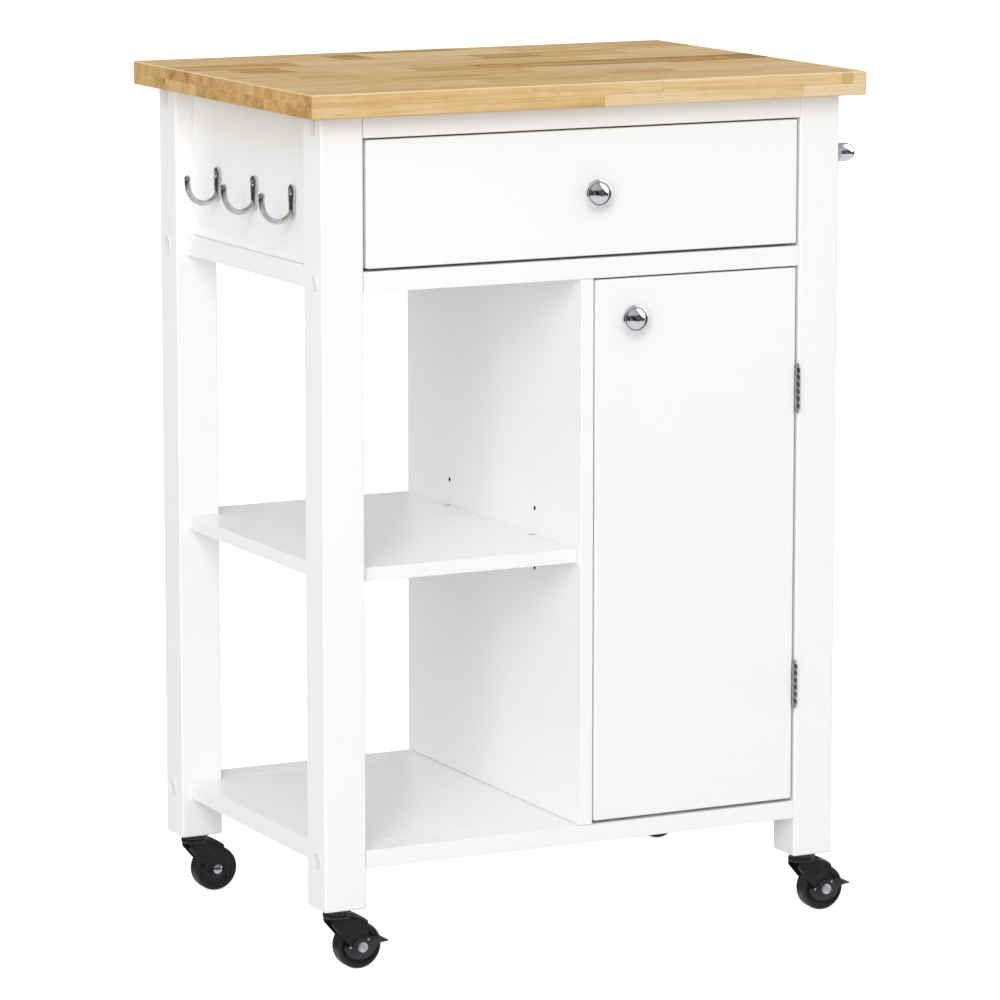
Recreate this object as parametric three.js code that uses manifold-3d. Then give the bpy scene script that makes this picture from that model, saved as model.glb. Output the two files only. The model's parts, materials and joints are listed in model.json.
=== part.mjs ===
// Kitchen island cart: a butcher-block worktop on four posts, with a drawer, an open bay with a
// shelf, a cupboard with a side-hung door, three hooks, a towel bar and four swivel casters.
// Millimetres. +X is right, +Y is back, +Z is up, and the front faces -Y.
import * as THREE from 'three';
import { mergeVertices } from 'three/addons/utils/BufferGeometryUtils.js';
import Module from 'manifold-3d';

// ---- driving dimensions ----
const HEIGHT = 914;
const SEAM = 0.3; // hairline left where two pieces touch
const CUT_PAST = 5; // how far a cutting tool runs past the face it cuts

const TOP_WIDTH = 642;
const TOP_DEPTH = 464;
const TOP_THICKNESS = 25;

const BODY_WIDTH = 602; // over the outer faces of the legs
const BODY_DEPTH = 419;
const LEG_WIDTH = 47;
const LEG_DEPTH = 45;
const CASTER_HEIGHT = 67;

const RAIL_DEPTH = 38;
const TOP_RAIL_BOTTOM = 866;
const MIDDLE_DECK_BOTTOM = 709;
const MIDDLE_DECK_TOP = 730;
const BOTTOM_DECK_BOTTOM = 109.5;
const BOTTOM_DECK_TOP = 128.5;
const DECK_END_INSET = 12; // deck and shelf ends, in from the legs' outer faces
const PANEL_INSET = 20; // side panels, in from the legs' outer faces
const PANEL_THICKNESS = 12;
const BACK_PANEL_INSET = 10;

const DIVIDER_LEFT = -5.5;
const DIVIDER_THICKNESS = 14.5;
const SHELF_BOTTOM = 409.5;
const SHELF_THICKNESS = 14.5;
const SHELF_FRONT_INSET = 8;
const PIN_HOLE_RADIUS = 2.5;
const PIN_HOLE_DEPTH = 6;
const PIN_HOLE_PITCH = 32;
const PIN_HOLE_MIDDLE = 420.5;
const PIN_HOLE_Y = 103;

const FRONT_THICKNESS = 16; // drawer front and door
const FRONT_SIDE_GAP = 3.6;
const DRAWER_FRONT_BOTTOM = 733;
const DRAWER_FRONT_TOP = 864;
const DRAWER_BOX_BOTTOM = 742;
const DRAWER_BOX_TOP = 846;
const DRAWER_BOX_BACK = 178;
const DRAWER_BOARD = 12;
const DRAWER_BOTTOM_LIFT = 6;
const DRAWER_BOTTOM_THICKNESS = 5;
const RUNNER_SPACE = 12.5; // each side, between drawer box and leg

const DOOR_BOTTOM = 132;
const DOOR_TOP = 707;
const DOOR_LEFT_GAP = 2.2;
const DOOR_RIGHT_GAP = 3.7;

const KNOB_RADIUS = 15;
const DRAWER_KNOB_X = 8;
const DRAWER_KNOB_Z = 799;
const DOOR_KNOB_X = 51.5;
const DOOR_KNOB_Z = 666;
const STRIKE_THICKNESS = 1.2;

const HINGE_HEIGHT = 46;
const HINGE_CENTRES = { lower: 258, upper: 578.5 };
const HINGE_BARREL_RADIUS = 2.8;
const HINGE_PIN_RADIUS = 1.1;
const HINGE_BORE_RADIUS = 1.4;
const HINGE_TIP_RADIUS = 1.9;
const HINGE_KNUCKLES = 6;
const HINGE_LEAF = 1.1;
const HINGE_LEAF_DEPTH = 19;
const HINGE_PROUD = 2.3; // barrel axis ahead of the front face

const HOOK_POSITIONS = { back: 95, middle: -1.5, front: -98 };
const HOOK_PLATE_BOTTOM = 774;
const HOOK_PLATE_TOP = 810.5;
const HOOK_PLATE_THICKNESS = 3.6;
const HOOK_REACH = 39;

const TOWEL_BAR_Z = 820;
const TOWEL_BAR_RADIUS = 6;
const TOWEL_BAR_REACH = 64; // bar axis out from the side panel
const TOWEL_POST_Y = 148;
const TOWEL_HEAD_RADIUS = 10;

const WHEEL_RADIUS = 25;
const WHEEL_WIDTH = 18;
const WHEEL_SIDES = 24;
const CASTER_TRAIL = 22;
const AXLE_RADIUS = 3;
const AXLE_CLEARANCE = 0.4;
const RACEWAY_RADIUS = 15;
const RACEWAY_BOTTOM = 61;
const STEM_RADIUS = 4;
const STEM_LENGTH = 30;
const STEM_BORE_RADIUS = 4.4;
const FORK_INNER = 10; // half the space between the fork's cheeks
const FORK_SHEET = 1.8;

// ---- derived planes ----
const HALF_WIDTH = BODY_WIDTH / 2;
const HALF_DEPTH = BODY_DEPTH / 2;
const BODY_TOP = HEIGHT - TOP_THICKNESS;
const LEG_INNER_X = HALF_WIDTH - LEG_WIDTH;
const LEG_INNER_Y = HALF_DEPTH - LEG_DEPTH;
const LEG_CENTRE_X = HALF_WIDTH - LEG_WIDTH / 2;
const LEG_CENTRE_Y = HALF_DEPTH - LEG_DEPTH / 2;
const RAIL_END = LEG_INNER_X - SEAM;
const RAIL_INNER_Y = HALF_DEPTH - RAIL_DEPTH;
const DECK_END = HALF_WIDTH - DECK_END_INSET;
const PANEL_OUTER_X = HALF_WIDTH - PANEL_INSET;
const PANEL_INNER_X = PANEL_OUTER_X - PANEL_THICKNESS;
const BACK_PANEL_OUTER_Y = HALF_DEPTH - BACK_PANEL_INSET;
const FRONT_Y = -HALF_DEPTH;
const FRONT_BACK_Y = FRONT_Y + FRONT_THICKNESS;
const DIVIDER_RIGHT = DIVIDER_LEFT + DIVIDER_THICKNESS;
const DOOR_LEFT = DIVIDER_RIGHT + DOOR_LEFT_GAP;
const DOOR_RIGHT = LEG_INNER_X - DOOR_RIGHT_GAP;
const AXLE_Z = WHEEL_RADIUS * Math.cos(Math.PI / WHEEL_SIDES); // the wheel stands on a flat

// ---- materials ----
function finish(color, roughness, metalness = 0) {
  return new THREE.MeshStandardMaterial({ color, roughness, metalness });
}
const BUTCHER_BLOCK = finish(0xd9a860, 0.45);
const WHITE_PAINT = finish(0xf4f4f3, 0.4);
const DRAWER_BOARD_FINISH = finish(0xf1efea, 0.6);
const CHROME = finish(0xc9cacf, 0.08, 1);
const STEEL = finish(0x6f7276, 0.35, 1);
const ZINC = finish(0xb4b8bb, 0.4, 1);
const BLACK_STEEL = finish(0x1b1b1d, 0.45, 0.6);
const BLACK_PLASTIC = finish(0x232326, 0.5);

// ---- solids: three.js geometry in, three.js geometry out ----
const wasm = await Module();
wasm.setup();

function toSolid(geometry) {
  const bare = geometry.clone();
  bare.deleteAttribute('normal');
  bare.deleteAttribute('uv');
  const merged = mergeVertices(bare, 1e-4);
  const index = merged.index.array;
  const corners = [];
  for (let i = 0; i < index.length; i += 3) {
    const [a, b, c] = index.slice(i, i + 3);
    if (a !== b && b !== c && c !== a) corners.push(a, b, c);
  }
  return new wasm.Manifold(new wasm.Mesh({
    numProp: 3,
    vertProperties: merged.attributes.position.array,
    triVerts: new Uint32Array(corners),
  }));
}

function toGeometry(solid) {
  const mesh = solid.getMesh();
  const geometry = new THREE.BufferGeometry();
  geometry.setAttribute('position', new THREE.BufferAttribute(mesh.vertProperties, 3));
  geometry.setIndex(new THREE.BufferAttribute(mesh.triVerts, 1));
  geometry.computeVertexNormals();
  return geometry;
}

function join(first, ...others) {
  return toGeometry(others.reduce((solid, other) => solid.add(toSolid(other)), toSolid(first)));
}

function cut(first, ...tools) {
  return toGeometry(tools.reduce((solid, tool) => solid.subtract(toSolid(tool)), toSolid(first)));
}

// ---- shapes ----
function block(x, y, z) {
  const geometry = new THREE.BoxGeometry(x[1] - x[0], y[1] - y[0], z[1] - z[0]);
  return geometry.translate((x[0] + x[1]) / 2, (y[0] + y[1]) / 2, (z[0] + z[1]) / 2);
}

// A flat board from an outline of [x, y] points, standing from z[0] to z[1].
function board(points, z) {
  const outline = new THREE.Shape(points.map(([x, y]) => new THREE.Vector2(x, y)));
  const geometry = new THREE.ExtrudeGeometry(outline, { depth: z[1] - z[0], bevelEnabled: false });
  return geometry.translate(0, 0, z[0]);
}

// A plate that stands in the XZ plane, from an outline of [x, z] points, between y[0] and y[1].
function uprightPlate(points, y) {
  const outline = new THREE.Shape(points.map(([x, z]) => new THREE.Vector2(x, z)));
  const geometry = new THREE.ExtrudeGeometry(outline, { depth: y[1] - y[0], bevelEnabled: false });
  return geometry.rotateX(Math.PI / 2).translate(0, y[1], 0);
}

const TURN = {
  x: (geometry) => geometry.rotateZ(-Math.PI / 2),
  y: (geometry) => geometry,
  z: (geometry) => geometry.rotateX(Math.PI / 2),
};

// A round rod along an axis, from one coordinate to the other, centred on the other two.
function rod(axis, radius, from, to, sides = 20) {
  const geometry = TURN[axis](new THREE.CylinderGeometry(radius, radius, to - from, sides));
  const middle = { x: 0, y: 0, z: 0, [axis]: (from + to) / 2 };
  return geometry.translate(middle.x, middle.y, middle.z);
}

// A turned shape about the Y axis, from a profile of [radius, y] points.
function turned(profile, sides, start = 0) {
  const points = profile.map(([radius, y]) => new THREE.Vector2(radius, y));
  return new THREE.LatheGeometry(points, sides, start);
}

function mirrored(points) {
  return points.map(([x, y]) => [-x, y]).reverse();
}

// A range on the positive side of an axis, moved to the side that sign names.
function onSide(sign, [low, high]) {
  return sign > 0 ? [low, high] : [-high, -low];
}

// ---- assembly helpers ----
const cart = new THREE.Group();

function place(name, geometry, material, parent = cart) {
  const mesh = new THREE.Mesh(geometry, material);
  mesh.name = name;
  parent.add(mesh);
  return mesh;
}

// ---- worktop and legs ----
function addWorktop() {
  const halfWidth = TOP_WIDTH / 2;
  const halfDepth = TOP_DEPTH / 2;
  const slab = block([-halfWidth, halfWidth], [-halfDepth, halfDepth], [BODY_TOP, HEIGHT]);
  place('worktop', slab, BUTCHER_BLOCK);
}

function addLeg(name, sideX, sideY) {
  const x = onSide(sideX, [LEG_INNER_X, HALF_WIDTH]);
  const y = onSide(sideY, [LEG_INNER_Y, HALF_DEPTH]);
  const post = block(x, y, [CASTER_HEIGHT, BODY_TOP - SEAM]);
  const bore = rod('z', STEM_BORE_RADIUS, CASTER_HEIGHT - CUT_PAST, CASTER_HEIGHT + STEM_LENGTH + 2, 16);
  bore.translate(LEG_CENTRE_X * sideX, LEG_CENTRE_Y * sideY, 0);
  place(`leg_${name}`, cut(post, bore), WHITE_PAINT);
}

// ---- rails, decks, shelves and panels ----
function addRails() {
  const levels = {
    top_rail: [TOP_RAIL_BOTTOM, BODY_TOP - SEAM],
    middle_rail: [MIDDLE_DECK_BOTTOM, MIDDLE_DECK_TOP],
    bottom_rail: [BOTTOM_DECK_BOTTOM, BOTTOM_DECK_TOP],
  };
  for (const [name, z] of Object.entries(levels)) {
    place(`front_${name}`, block([-RAIL_END, RAIL_END], [-HALF_DEPTH, -RAIL_INNER_Y], z), WHITE_PAINT);
    place(`back_${name}`, block([-RAIL_END, RAIL_END], [RAIL_INNER_Y, HALF_DEPTH], z), WHITE_PAINT);
  }
}

// A deck fills the space between front and back rails, and its ends reach out between the legs.
function addDeck(name, z) {
  const endY = LEG_INNER_Y - SEAM;
  const edgeY = RAIL_INNER_Y - SEAM;
  const right = [
    [RAIL_END, -edgeY],
    [RAIL_END, -endY],
    [DECK_END, -endY],
    [DECK_END, endY],
    [RAIL_END, endY],
    [RAIL_END, edgeY],
  ];
  place(name, board([...right, ...mirrored(right)], z), WHITE_PAINT);
}

function addShelves() {
  const z = [SHELF_BOTTOM, SHELF_BOTTOM + SHELF_THICKNESS];
  const endY = LEG_INNER_Y - SEAM;
  const frontY = FRONT_Y + SHELF_FRONT_INSET;
  const backY = HALF_DEPTH - SEAM;
  const rightX = DIVIDER_LEFT - SEAM;
  const openShelf = [
    [-DECK_END, -endY],
    [-RAIL_END, -endY],
    [-RAIL_END, frontY],
    [rightX, frontY],
    [rightX, backY],
    [-RAIL_END, backY],
    [-RAIL_END, endY],
    [-DECK_END, endY],
  ];
  place('open_shelf', board(openShelf, z), WHITE_PAINT);
  const cupboardX = [DIVIDER_RIGHT + SEAM, PANEL_INNER_X - SEAM];
  place('cupboard_shelf', block(cupboardX, [FRONT_BACK_Y + LEG_DEPTH, endY], z), WHITE_PAINT);
}

function addDivider() {
  const panel = block(
    [DIVIDER_LEFT, DIVIDER_RIGHT],
    [-HALF_DEPTH, HALF_DEPTH],
    [BOTTOM_DECK_TOP + SEAM, MIDDLE_DECK_BOTTOM - SEAM],
  );
  const holes = [];
  for (const y of [-PIN_HOLE_Y, PIN_HOLE_Y]) {
    for (const row of [-1, 0, 1]) {
      const z = PIN_HOLE_MIDDLE + row * PIN_HOLE_PITCH;
      const left = rod('x', PIN_HOLE_RADIUS, DIVIDER_LEFT - CUT_PAST, DIVIDER_LEFT + PIN_HOLE_DEPTH, 10);
      const right = rod('x', PIN_HOLE_RADIUS, DIVIDER_RIGHT - PIN_HOLE_DEPTH, DIVIDER_RIGHT + CUT_PAST, 10);
      holes.push(left.translate(0, y, z), right.translate(0, y, z));
    }
  }
  place('divider', cut(panel, ...holes), WHITE_PAINT);
}

function addPanels() {
  const y = [-(LEG_INNER_Y - SEAM), LEG_INNER_Y - SEAM];
  const upper = [MIDDLE_DECK_TOP + SEAM, BODY_TOP - SEAM];
  const lower = [BOTTOM_DECK_TOP + SEAM, MIDDLE_DECK_BOTTOM - SEAM];
  const backUpper = [MIDDLE_DECK_TOP + SEAM, TOP_RAIL_BOTTOM - SEAM];
  const backY = [BACK_PANEL_OUTER_Y - PANEL_THICKNESS, BACK_PANEL_OUTER_Y];
  place('left_upper_panel', block([-PANEL_OUTER_X, -PANEL_INNER_X], y, upper), WHITE_PAINT);
  place('right_upper_panel', block([PANEL_INNER_X, PANEL_OUTER_X], y, upper), WHITE_PAINT);
  place('right_lower_panel', block([PANEL_INNER_X, PANEL_OUTER_X], y, lower), WHITE_PAINT);
  place('upper_back_panel', block([-RAIL_END, RAIL_END], backY, backUpper), WHITE_PAINT);
  place('cupboard_back', block([DIVIDER_RIGHT + SEAM, RAIL_END], backY, lower), WHITE_PAINT);
}

// ---- knobs: a foot, a waisted stem, a thick rim with a bead round its front, and a dome ----
function knob() {
  const profile = [
    [0, 0],
    [8.4, 0],
    [8.4, 1.4],
    [6.6, 2.6],
    [6, 5.2],
    [7, 7],
    [KNOB_RADIUS - 2, 8],
    [KNOB_RADIUS, 9.4],
    [KNOB_RADIUS - 0.6, 12.8],
    [KNOB_RADIUS - 1.8, 13.8],
    [11.6, 14],
    [8.6, 16.6],
    [4.6, 18.4],
    [0, 19],
  ];
  return turned(profile, 24).rotateX(Math.PI);
}

// ---- drawer ----
// One side's runner pair. The cabinet half is a channel with a roller at its front. The drawer
// half is an angle that rolls on it, with a roller of its own at the back, inside the channel.
function addRunners(drawer, side, sign) {
  const z = 772;
  const wall = LEG_INNER_X - SEAM;
  const boxSide = LEG_INNER_X - RUNNER_SPACE + SEAM;
  const sheet = 1.2;
  const channelHeight = 28;
  const lip = boxSide + sheet + 1.5;
  const yCabinet = [FRONT_BACK_Y + 3, 184];
  const yDrawer = [FRONT_BACK_Y + SEAM, DRAWER_BOX_BACK];
  const flangeZ = z + 15.4;
  const across = (from, to) => onSide(sign, [from, to]);

  const web = block(across(wall - sheet, wall), yCabinet, [z, z + channelHeight]);
  const floor = block(across(lip, wall), yCabinet, [z, z + sheet]);
  const roof = block(across(lip, wall), yCabinet, [z + channelHeight - sheet, z + channelHeight]);
  const frontRoller = rod('x', 7, ...across(lip, wall - 0.5));
  frontRoller.translate(0, yCabinet[0] + 9, z + 8);
  place(`runner_${side}_cabinet`, join(web, floor, roof, frontRoller), ZINC);

  const plate = block(across(boxSide, boxSide + sheet), yDrawer, [z - 4, flangeZ + sheet]);
  const flange = block(across(boxSide, wall - sheet - 1), yDrawer, [flangeZ, flangeZ + sheet]);
  const backRoller = rod('x', 6.4, ...across(boxSide + 0.5, wall - sheet - 1));
  backRoller.translate(0, yDrawer[1] - 8, z + 8);
  place(`runner_${side}_drawer`, join(plate, flange, backRoller), ZINC, drawer);
}

function addDrawer() {
  const drawer = new THREE.Group();
  cart.add(drawer);
  const frontX = LEG_INNER_X - FRONT_SIDE_GAP;
  const outerX = LEG_INNER_X - RUNNER_SPACE;
  const innerX = outerX - DRAWER_BOARD;
  const frontEnd = FRONT_BACK_Y + SEAM;
  const boxZ = [DRAWER_BOX_BOTTOM, DRAWER_BOX_TOP];
  const bottomZ = DRAWER_BOX_BOTTOM + DRAWER_BOTTOM_LIFT;
  const backInner = DRAWER_BOX_BACK - DRAWER_BOARD;
  const front = block([-frontX, frontX], [FRONT_Y, FRONT_BACK_Y], [DRAWER_FRONT_BOTTOM, DRAWER_FRONT_TOP]);
  const left = block([-outerX, -innerX], [frontEnd, DRAWER_BOX_BACK], boxZ);
  const right = block([innerX, outerX], [frontEnd, DRAWER_BOX_BACK], boxZ);
  const back = block([-innerX + SEAM, innerX - SEAM], [backInner, DRAWER_BOX_BACK], boxZ);
  const bottom = block(
    [-innerX + SEAM, innerX - SEAM],
    [frontEnd, backInner - SEAM],
    [bottomZ, bottomZ + DRAWER_BOTTOM_THICKNESS],
  );
  place('drawer_front', front, WHITE_PAINT, drawer);
  place('drawer_left_side', left, DRAWER_BOARD_FINISH, drawer);
  place('drawer_right_side', right, DRAWER_BOARD_FINISH, drawer);
  place('drawer_back', back, DRAWER_BOARD_FINISH, drawer);
  place('drawer_bottom', bottom, DRAWER_BOARD_FINISH, drawer);
  const handle = place('drawer_knob', knob(), CHROME, drawer);
  handle.position.set(DRAWER_KNOB_X, FRONT_Y - SEAM, DRAWER_KNOB_Z);
  addRunners(drawer, 'left', -1);
  addRunners(drawer, 'right', 1);
}

// ---- door, hinges and magnetic catch ----
// A butt hinge in its own frame: the pin on the Z axis, the barrel ahead of the front face, and
// one leaf against the leg (+X) and the other against the door's edge (-X).
function addHinge(name, z) {
  const hinge = new THREE.Group();
  hinge.position.set((DOOR_RIGHT + LEG_INNER_X) / 2, FRONT_Y - HINGE_PROUD, z);
  cart.add(hinge);
  const halfGap = DOOR_RIGHT_GAP / 2;
  const pitch = HINGE_HEIGHT / HINGE_KNUCKLES;
  const half = HINGE_HEIGHT / 2;
  const leafY = [HINGE_PROUD - 0.6, HINGE_PROUD + HINGE_LEAF_DEPTH];
  const leafX = [halfGap - SEAM - HINGE_LEAF, halfGap - SEAM];
  const leaf = (sign) => block(onSide(sign, leafX), leafY, [-half, half]);
  const legKnuckles = [];
  const doorKnuckles = [];
  const legGaps = [];
  const doorGaps = [];
  for (let knuckle = 0; knuckle < HINGE_KNUCKLES; knuckle += 1) {
    const low = -half + knuckle * pitch;
    const solid = rod('z', HINGE_BARREL_RADIUS, low + SEAM / 2, low + pitch - SEAM / 2, 12);
    const gap = rod('z', HINGE_BARREL_RADIUS + SEAM, low, low + pitch, 12);
    const onLeg = knuckle % 2 === 1;
    (onLeg ? legKnuckles : doorKnuckles).push(solid);
    (onLeg ? doorGaps : legGaps).push(gap);
  }
  const pin = rod('z', HINGE_PIN_RADIUS, -half - 1, half + 1, 10);
  const tips = [-1, 1].map((end) => {
    const tip = new THREE.SphereGeometry(HINGE_TIP_RADIUS, 8, 6);
    return tip.translate(0, 0, end * (half + HINGE_TIP_RADIUS));
  });
  const bore = rod('z', HINGE_BORE_RADIUS, -half - CUT_PAST, half + CUT_PAST, 10);
  const legLeaf = join(cut(leaf(1), ...legGaps), pin, ...tips, ...legKnuckles);
  const doorLeaf = cut(join(leaf(-1), ...doorKnuckles), bore, ...doorGaps);
  place(`hinge_${name}_leg_leaf`, legLeaf, STEEL, hinge);
  place(`hinge_${name}_door_leaf`, doorLeaf, STEEL, hinge);
}

function addDoor() {
  const door = new THREE.Group();
  cart.add(door);
  const panel = block([DOOR_LEFT, DOOR_RIGHT], [FRONT_Y, FRONT_BACK_Y], [DOOR_BOTTOM, DOOR_TOP]);
  place('door_panel', panel, WHITE_PAINT, door);
  const handle = place('door_knob', knob(), CHROME, door);
  handle.position.set(DOOR_KNOB_X, FRONT_Y - SEAM, DOOR_KNOB_Z);
  for (const [name, z] of Object.entries(HINGE_CENTRES)) addHinge(name, z);

  const centredOnKnob = (width) => [DOOR_KNOB_X - width / 2, DOOR_KNOB_X + width / 2];
  const strikeY = [FRONT_BACK_Y + SEAM, FRONT_BACK_Y + SEAM + STRIKE_THICKNESS];
  place('catch_strike', block(centredOnKnob(24), strikeY, [DOOR_TOP - 12, DOOR_TOP - 1]), ZINC, door);
  const catchY = [strikeY[1] + SEAM, strikeY[1] + SEAM + 14];
  const catchZ = [MIDDLE_DECK_BOTTOM - 12.5, MIDDLE_DECK_BOTTOM - SEAM];
  place('magnetic_catch', block(centredOnKnob(46), catchY, catchZ), BLACK_PLASTIC);
}

// ---- hooks: a tongue-shaped plate with one prong that curls out and up ----
function hook() {
  const centreZ = (HOOK_PLATE_BOTTOM + HOOK_PLATE_TOP) / 2;
  const halfHeight = (HOOK_PLATE_TOP - HOOK_PLATE_BOTTOM) / 2;
  const topRadius = 6.5;
  const tongue = new THREE.Shape();
  tongue.moveTo(-3.6, -halfHeight + 4);
  tongue.absarc(0, -halfHeight + 3.6, 3.6, Math.PI, 2 * Math.PI);
  tongue.lineTo(topRadius, halfHeight - topRadius);
  tongue.absarc(0, halfHeight - topRadius, topRadius, 0, Math.PI);
  const plate = new THREE.ExtrudeGeometry(tongue, {
    depth: HOOK_PLATE_THICKNESS,
    bevelEnabled: false,
    curveSegments: 6,
  });
  plate.rotateX(Math.PI / 2).rotateZ(-Math.PI / 2).translate(0, 0, centreZ);

  const route = new THREE.CatmullRomCurve3([
    new THREE.Vector3(-3.6, 0, HOOK_PLATE_BOTTOM + 9),
    new THREE.Vector3(-5.8, 0, HOOK_PLATE_BOTTOM + 3),
    new THREE.Vector3(-11, 0, HOOK_PLATE_BOTTOM - 0.4),
    new THREE.Vector3(-19.5, 0, HOOK_PLATE_BOTTOM - 1.4),
    new THREE.Vector3(-28.4, 0, HOOK_PLATE_BOTTOM + 2.6),
    new THREE.Vector3(-33.8, 0, HOOK_PLATE_BOTTOM + 10),
    new THREE.Vector3(-36, 0, HOOK_PLATE_BOTTOM + 19),
    new THREE.Vector3(3 - HOOK_REACH, 0, HOOK_PLATE_BOTTOM + 26),
  ]);
  const section = new THREE.Shape();
  section.absellipse(0, 0, 2.9, 3.8, 0, 2 * Math.PI);
  const prong = new THREE.ExtrudeGeometry(section, {
    steps: 15,
    curveSegments: 5,
    extrudePath: route,
  });
  const tip = new THREE.SphereGeometry(4, 10, 7);
  tip.scale(0.75, 1, 1).translate(3 - HOOK_REACH, 0, HOOK_PLATE_BOTTOM + 26);
  return join(plate, prong, tip);
}

function addHooks() {
  for (const [name, y] of Object.entries(HOOK_POSITIONS)) {
    const mesh = place(`hook_${name}`, hook(), CHROME);
    mesh.position.set(-PANEL_OUTER_X - SEAM, y, 0);
  }
}

// ---- towel bar on the right side ----
function addTowelBar() {
  const flangeDepth = 4;
  const socketDepth = 7;
  const headProfile = [
    [0, -12],
    [7.5, -12],
    [TOWEL_HEAD_RADIUS, -9.5],
    [TOWEL_HEAD_RADIUS, 3.5],
    [8.6, 7.4],
    [5, 9.4],
    [0, TOWEL_HEAD_RADIUS],
  ];
  const head = turned(headProfile, 18).rotateZ(-Math.PI / 2).translate(TOWEL_BAR_REACH, 0, 0);
  const flange = rod('x', 14, 0, flangeDepth, 20);
  const stem = rod('x', 5.5, 1, TOWEL_BAR_REACH, 14);
  for (const [name, sign] of Object.entries({ front: -1, back: 1 })) {
    const inward = onSide(-sign, [TOWEL_HEAD_RADIUS - socketDepth, TOWEL_HEAD_RADIUS + CUT_PAST]);
    const socket = rod('y', TOWEL_BAR_RADIUS + SEAM, ...inward).translate(TOWEL_BAR_REACH, 0, 0);
    const post = place(`towel_bracket_${name}`, cut(join(flange, stem, head), socket), CHROME);
    post.position.set(PANEL_OUTER_X + SEAM, sign * TOWEL_POST_Y, TOWEL_BAR_Z);
  }
  const barEnd = TOWEL_POST_Y - (TOWEL_HEAD_RADIUS - socketDepth) - SEAM;
  const bar = place('towel_bar', rod('y', TOWEL_BAR_RADIUS, -barEnd, barEnd, 20), CHROME);
  bar.position.set(PANEL_OUTER_X + SEAM + TOWEL_BAR_REACH, 0, TOWEL_BAR_Z);
}

// ---- casters: each in its own frame, with the swivel axis on Z and the axle behind it at +X ----
function casterMount() {
  const seatTop = CASTER_HEIGHT - SEAM;
  const profile = [
    [0, RACEWAY_BOTTOM],
    [RACEWAY_RADIUS - 3, RACEWAY_BOTTOM],
    [RACEWAY_RADIUS, RACEWAY_BOTTOM + 2],
    [RACEWAY_RADIUS, seatTop],
    [STEM_RADIUS, seatTop],
    [STEM_RADIUS, seatTop + STEM_LENGTH],
    [0, seatTop + STEM_LENGTH],
  ];
  return turned(profile, 16).rotateX(Math.PI / 2);
}

function casterFork(braked) {
  const top = RACEWAY_BOTTOM - SEAM;
  const cheek = [
    [-12.5, top - 0.5],
    [-12.5, top - 7],
    [CASTER_TRAIL - 7.5, AXLE_Z - 4],
    [CASTER_TRAIL - 3, AXLE_Z - 8],
    [CASTER_TRAIL + 3, AXLE_Z - 8],
    [CASTER_TRAIL + 8, AXLE_Z - 3],
    [CASTER_TRAIL + 10, AXLE_Z + 18],
    [CASTER_TRAIL + 5, AXLE_Z + 29],
    [CASTER_TRAIL - 4, top - 0.5],
  ];
  const outer = FORK_INNER + FORK_SHEET;
  const axleEnd = braked ? outer + 6.2 : outer + 1.6;
  const nutStart = braked ? outer + 2.4 : outer - 0.5;
  const crown = rod('z', RACEWAY_RADIUS - 1, top - 4, top, 20);
  const roof = block([-12, CASTER_TRAIL - 4.5], [-outer, outer], [top - 2.6, top - 0.5]);
  const axle = rod('y', AXLE_RADIUS, -axleEnd, axleEnd, 12);
  const nut = rod('y', 5.4, nutStart, axleEnd, 12);
  return join(
    crown,
    roof,
    uprightPlate(cheek, [FORK_INNER, outer]),
    uprightPlate(cheek, [-outer, -FORK_INNER]),
    axle.translate(CASTER_TRAIL, 0, AXLE_Z),
    nut.clone().translate(CASTER_TRAIL, 0, AXLE_Z),
    nut.translate(CASTER_TRAIL, -nutStart - axleEnd, AXLE_Z),
  );
}

function wheel() {
  const half = WHEEL_WIDTH / 2;
  const bore = AXLE_RADIUS + AXLE_CLEARANCE;
  const side = [
    [bore, half],
    [8.5, half],
    [9.5, half - 2.5],
    [18.5, half - 2.5],
    [20, half - 0.6],
    [WHEEL_RADIUS - 2, half - 0.6],
    [WHEEL_RADIUS, half - 2.6],
  ];
  const other = side.map(([radius, y]) => [radius, -y]);
  const profile = [...other, ...side.reverse(), other[0]];
  return turned(profile, WHEEL_SIDES, Math.PI / WHEEL_SIDES);
}

// The brake: two side plates on the axle, outside the fork, joined by a pedal behind the wheel.
function brakePedal() {
  const inner = FORK_INNER + FORK_SHEET + 0.4;
  const sheet = 1.4;
  const pedalStart = WHEEL_RADIUS + 1.2;
  const plate = [
    [-19, 1],
    [-18, -4],
    [-12, -10.5],
    [-3, -13.5],
    [7, -12.5],
    [14, -7],
    [18, 1],
    [pedalStart + 4, 2.5],
    [pedalStart + 4, 4.5],
    [16, 8.5],
    [7, 9],
    [-1, 10],
    [-8, 6],
    [-11, 2],
  ];
  const pedal = block([pedalStart, pedalStart + 4.5], [-inner - sheet, inner + sheet], [2.6, 4.4]);
  const bore = rod('y', AXLE_RADIUS + AXLE_CLEARANCE, -inner - CUT_PAST, inner + CUT_PAST, 12);
  const pieces = [uprightPlate(plate, [inner, inner + sheet]), pedal];
  return cut(join(uprightPlate(plate, [-inner - sheet, -inner]), ...pieces), bore);
}

function addCaster(name, sideX, sideY, braked) {
  const caster = new THREE.Group();
  caster.position.set(sideX * LEG_CENTRE_X, sideY * LEG_CENTRE_Y, 0);
  cart.add(caster);
  place(`caster_${name}_stem`, casterMount(), ZINC, caster);
  place(`caster_${name}_fork`, casterFork(braked), BLACK_STEEL, caster);
  const tyre = place(`caster_${name}_wheel`, wheel(), BLACK_PLASTIC, caster);
  tyre.position.set(CASTER_TRAIL, 0, AXLE_Z);
  if (braked) {
    const pedal = place(`caster_${name}_brake`, brakePedal(), BLACK_STEEL, caster);
    pedal.position.set(CASTER_TRAIL, 0, AXLE_Z);
  }
}

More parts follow.
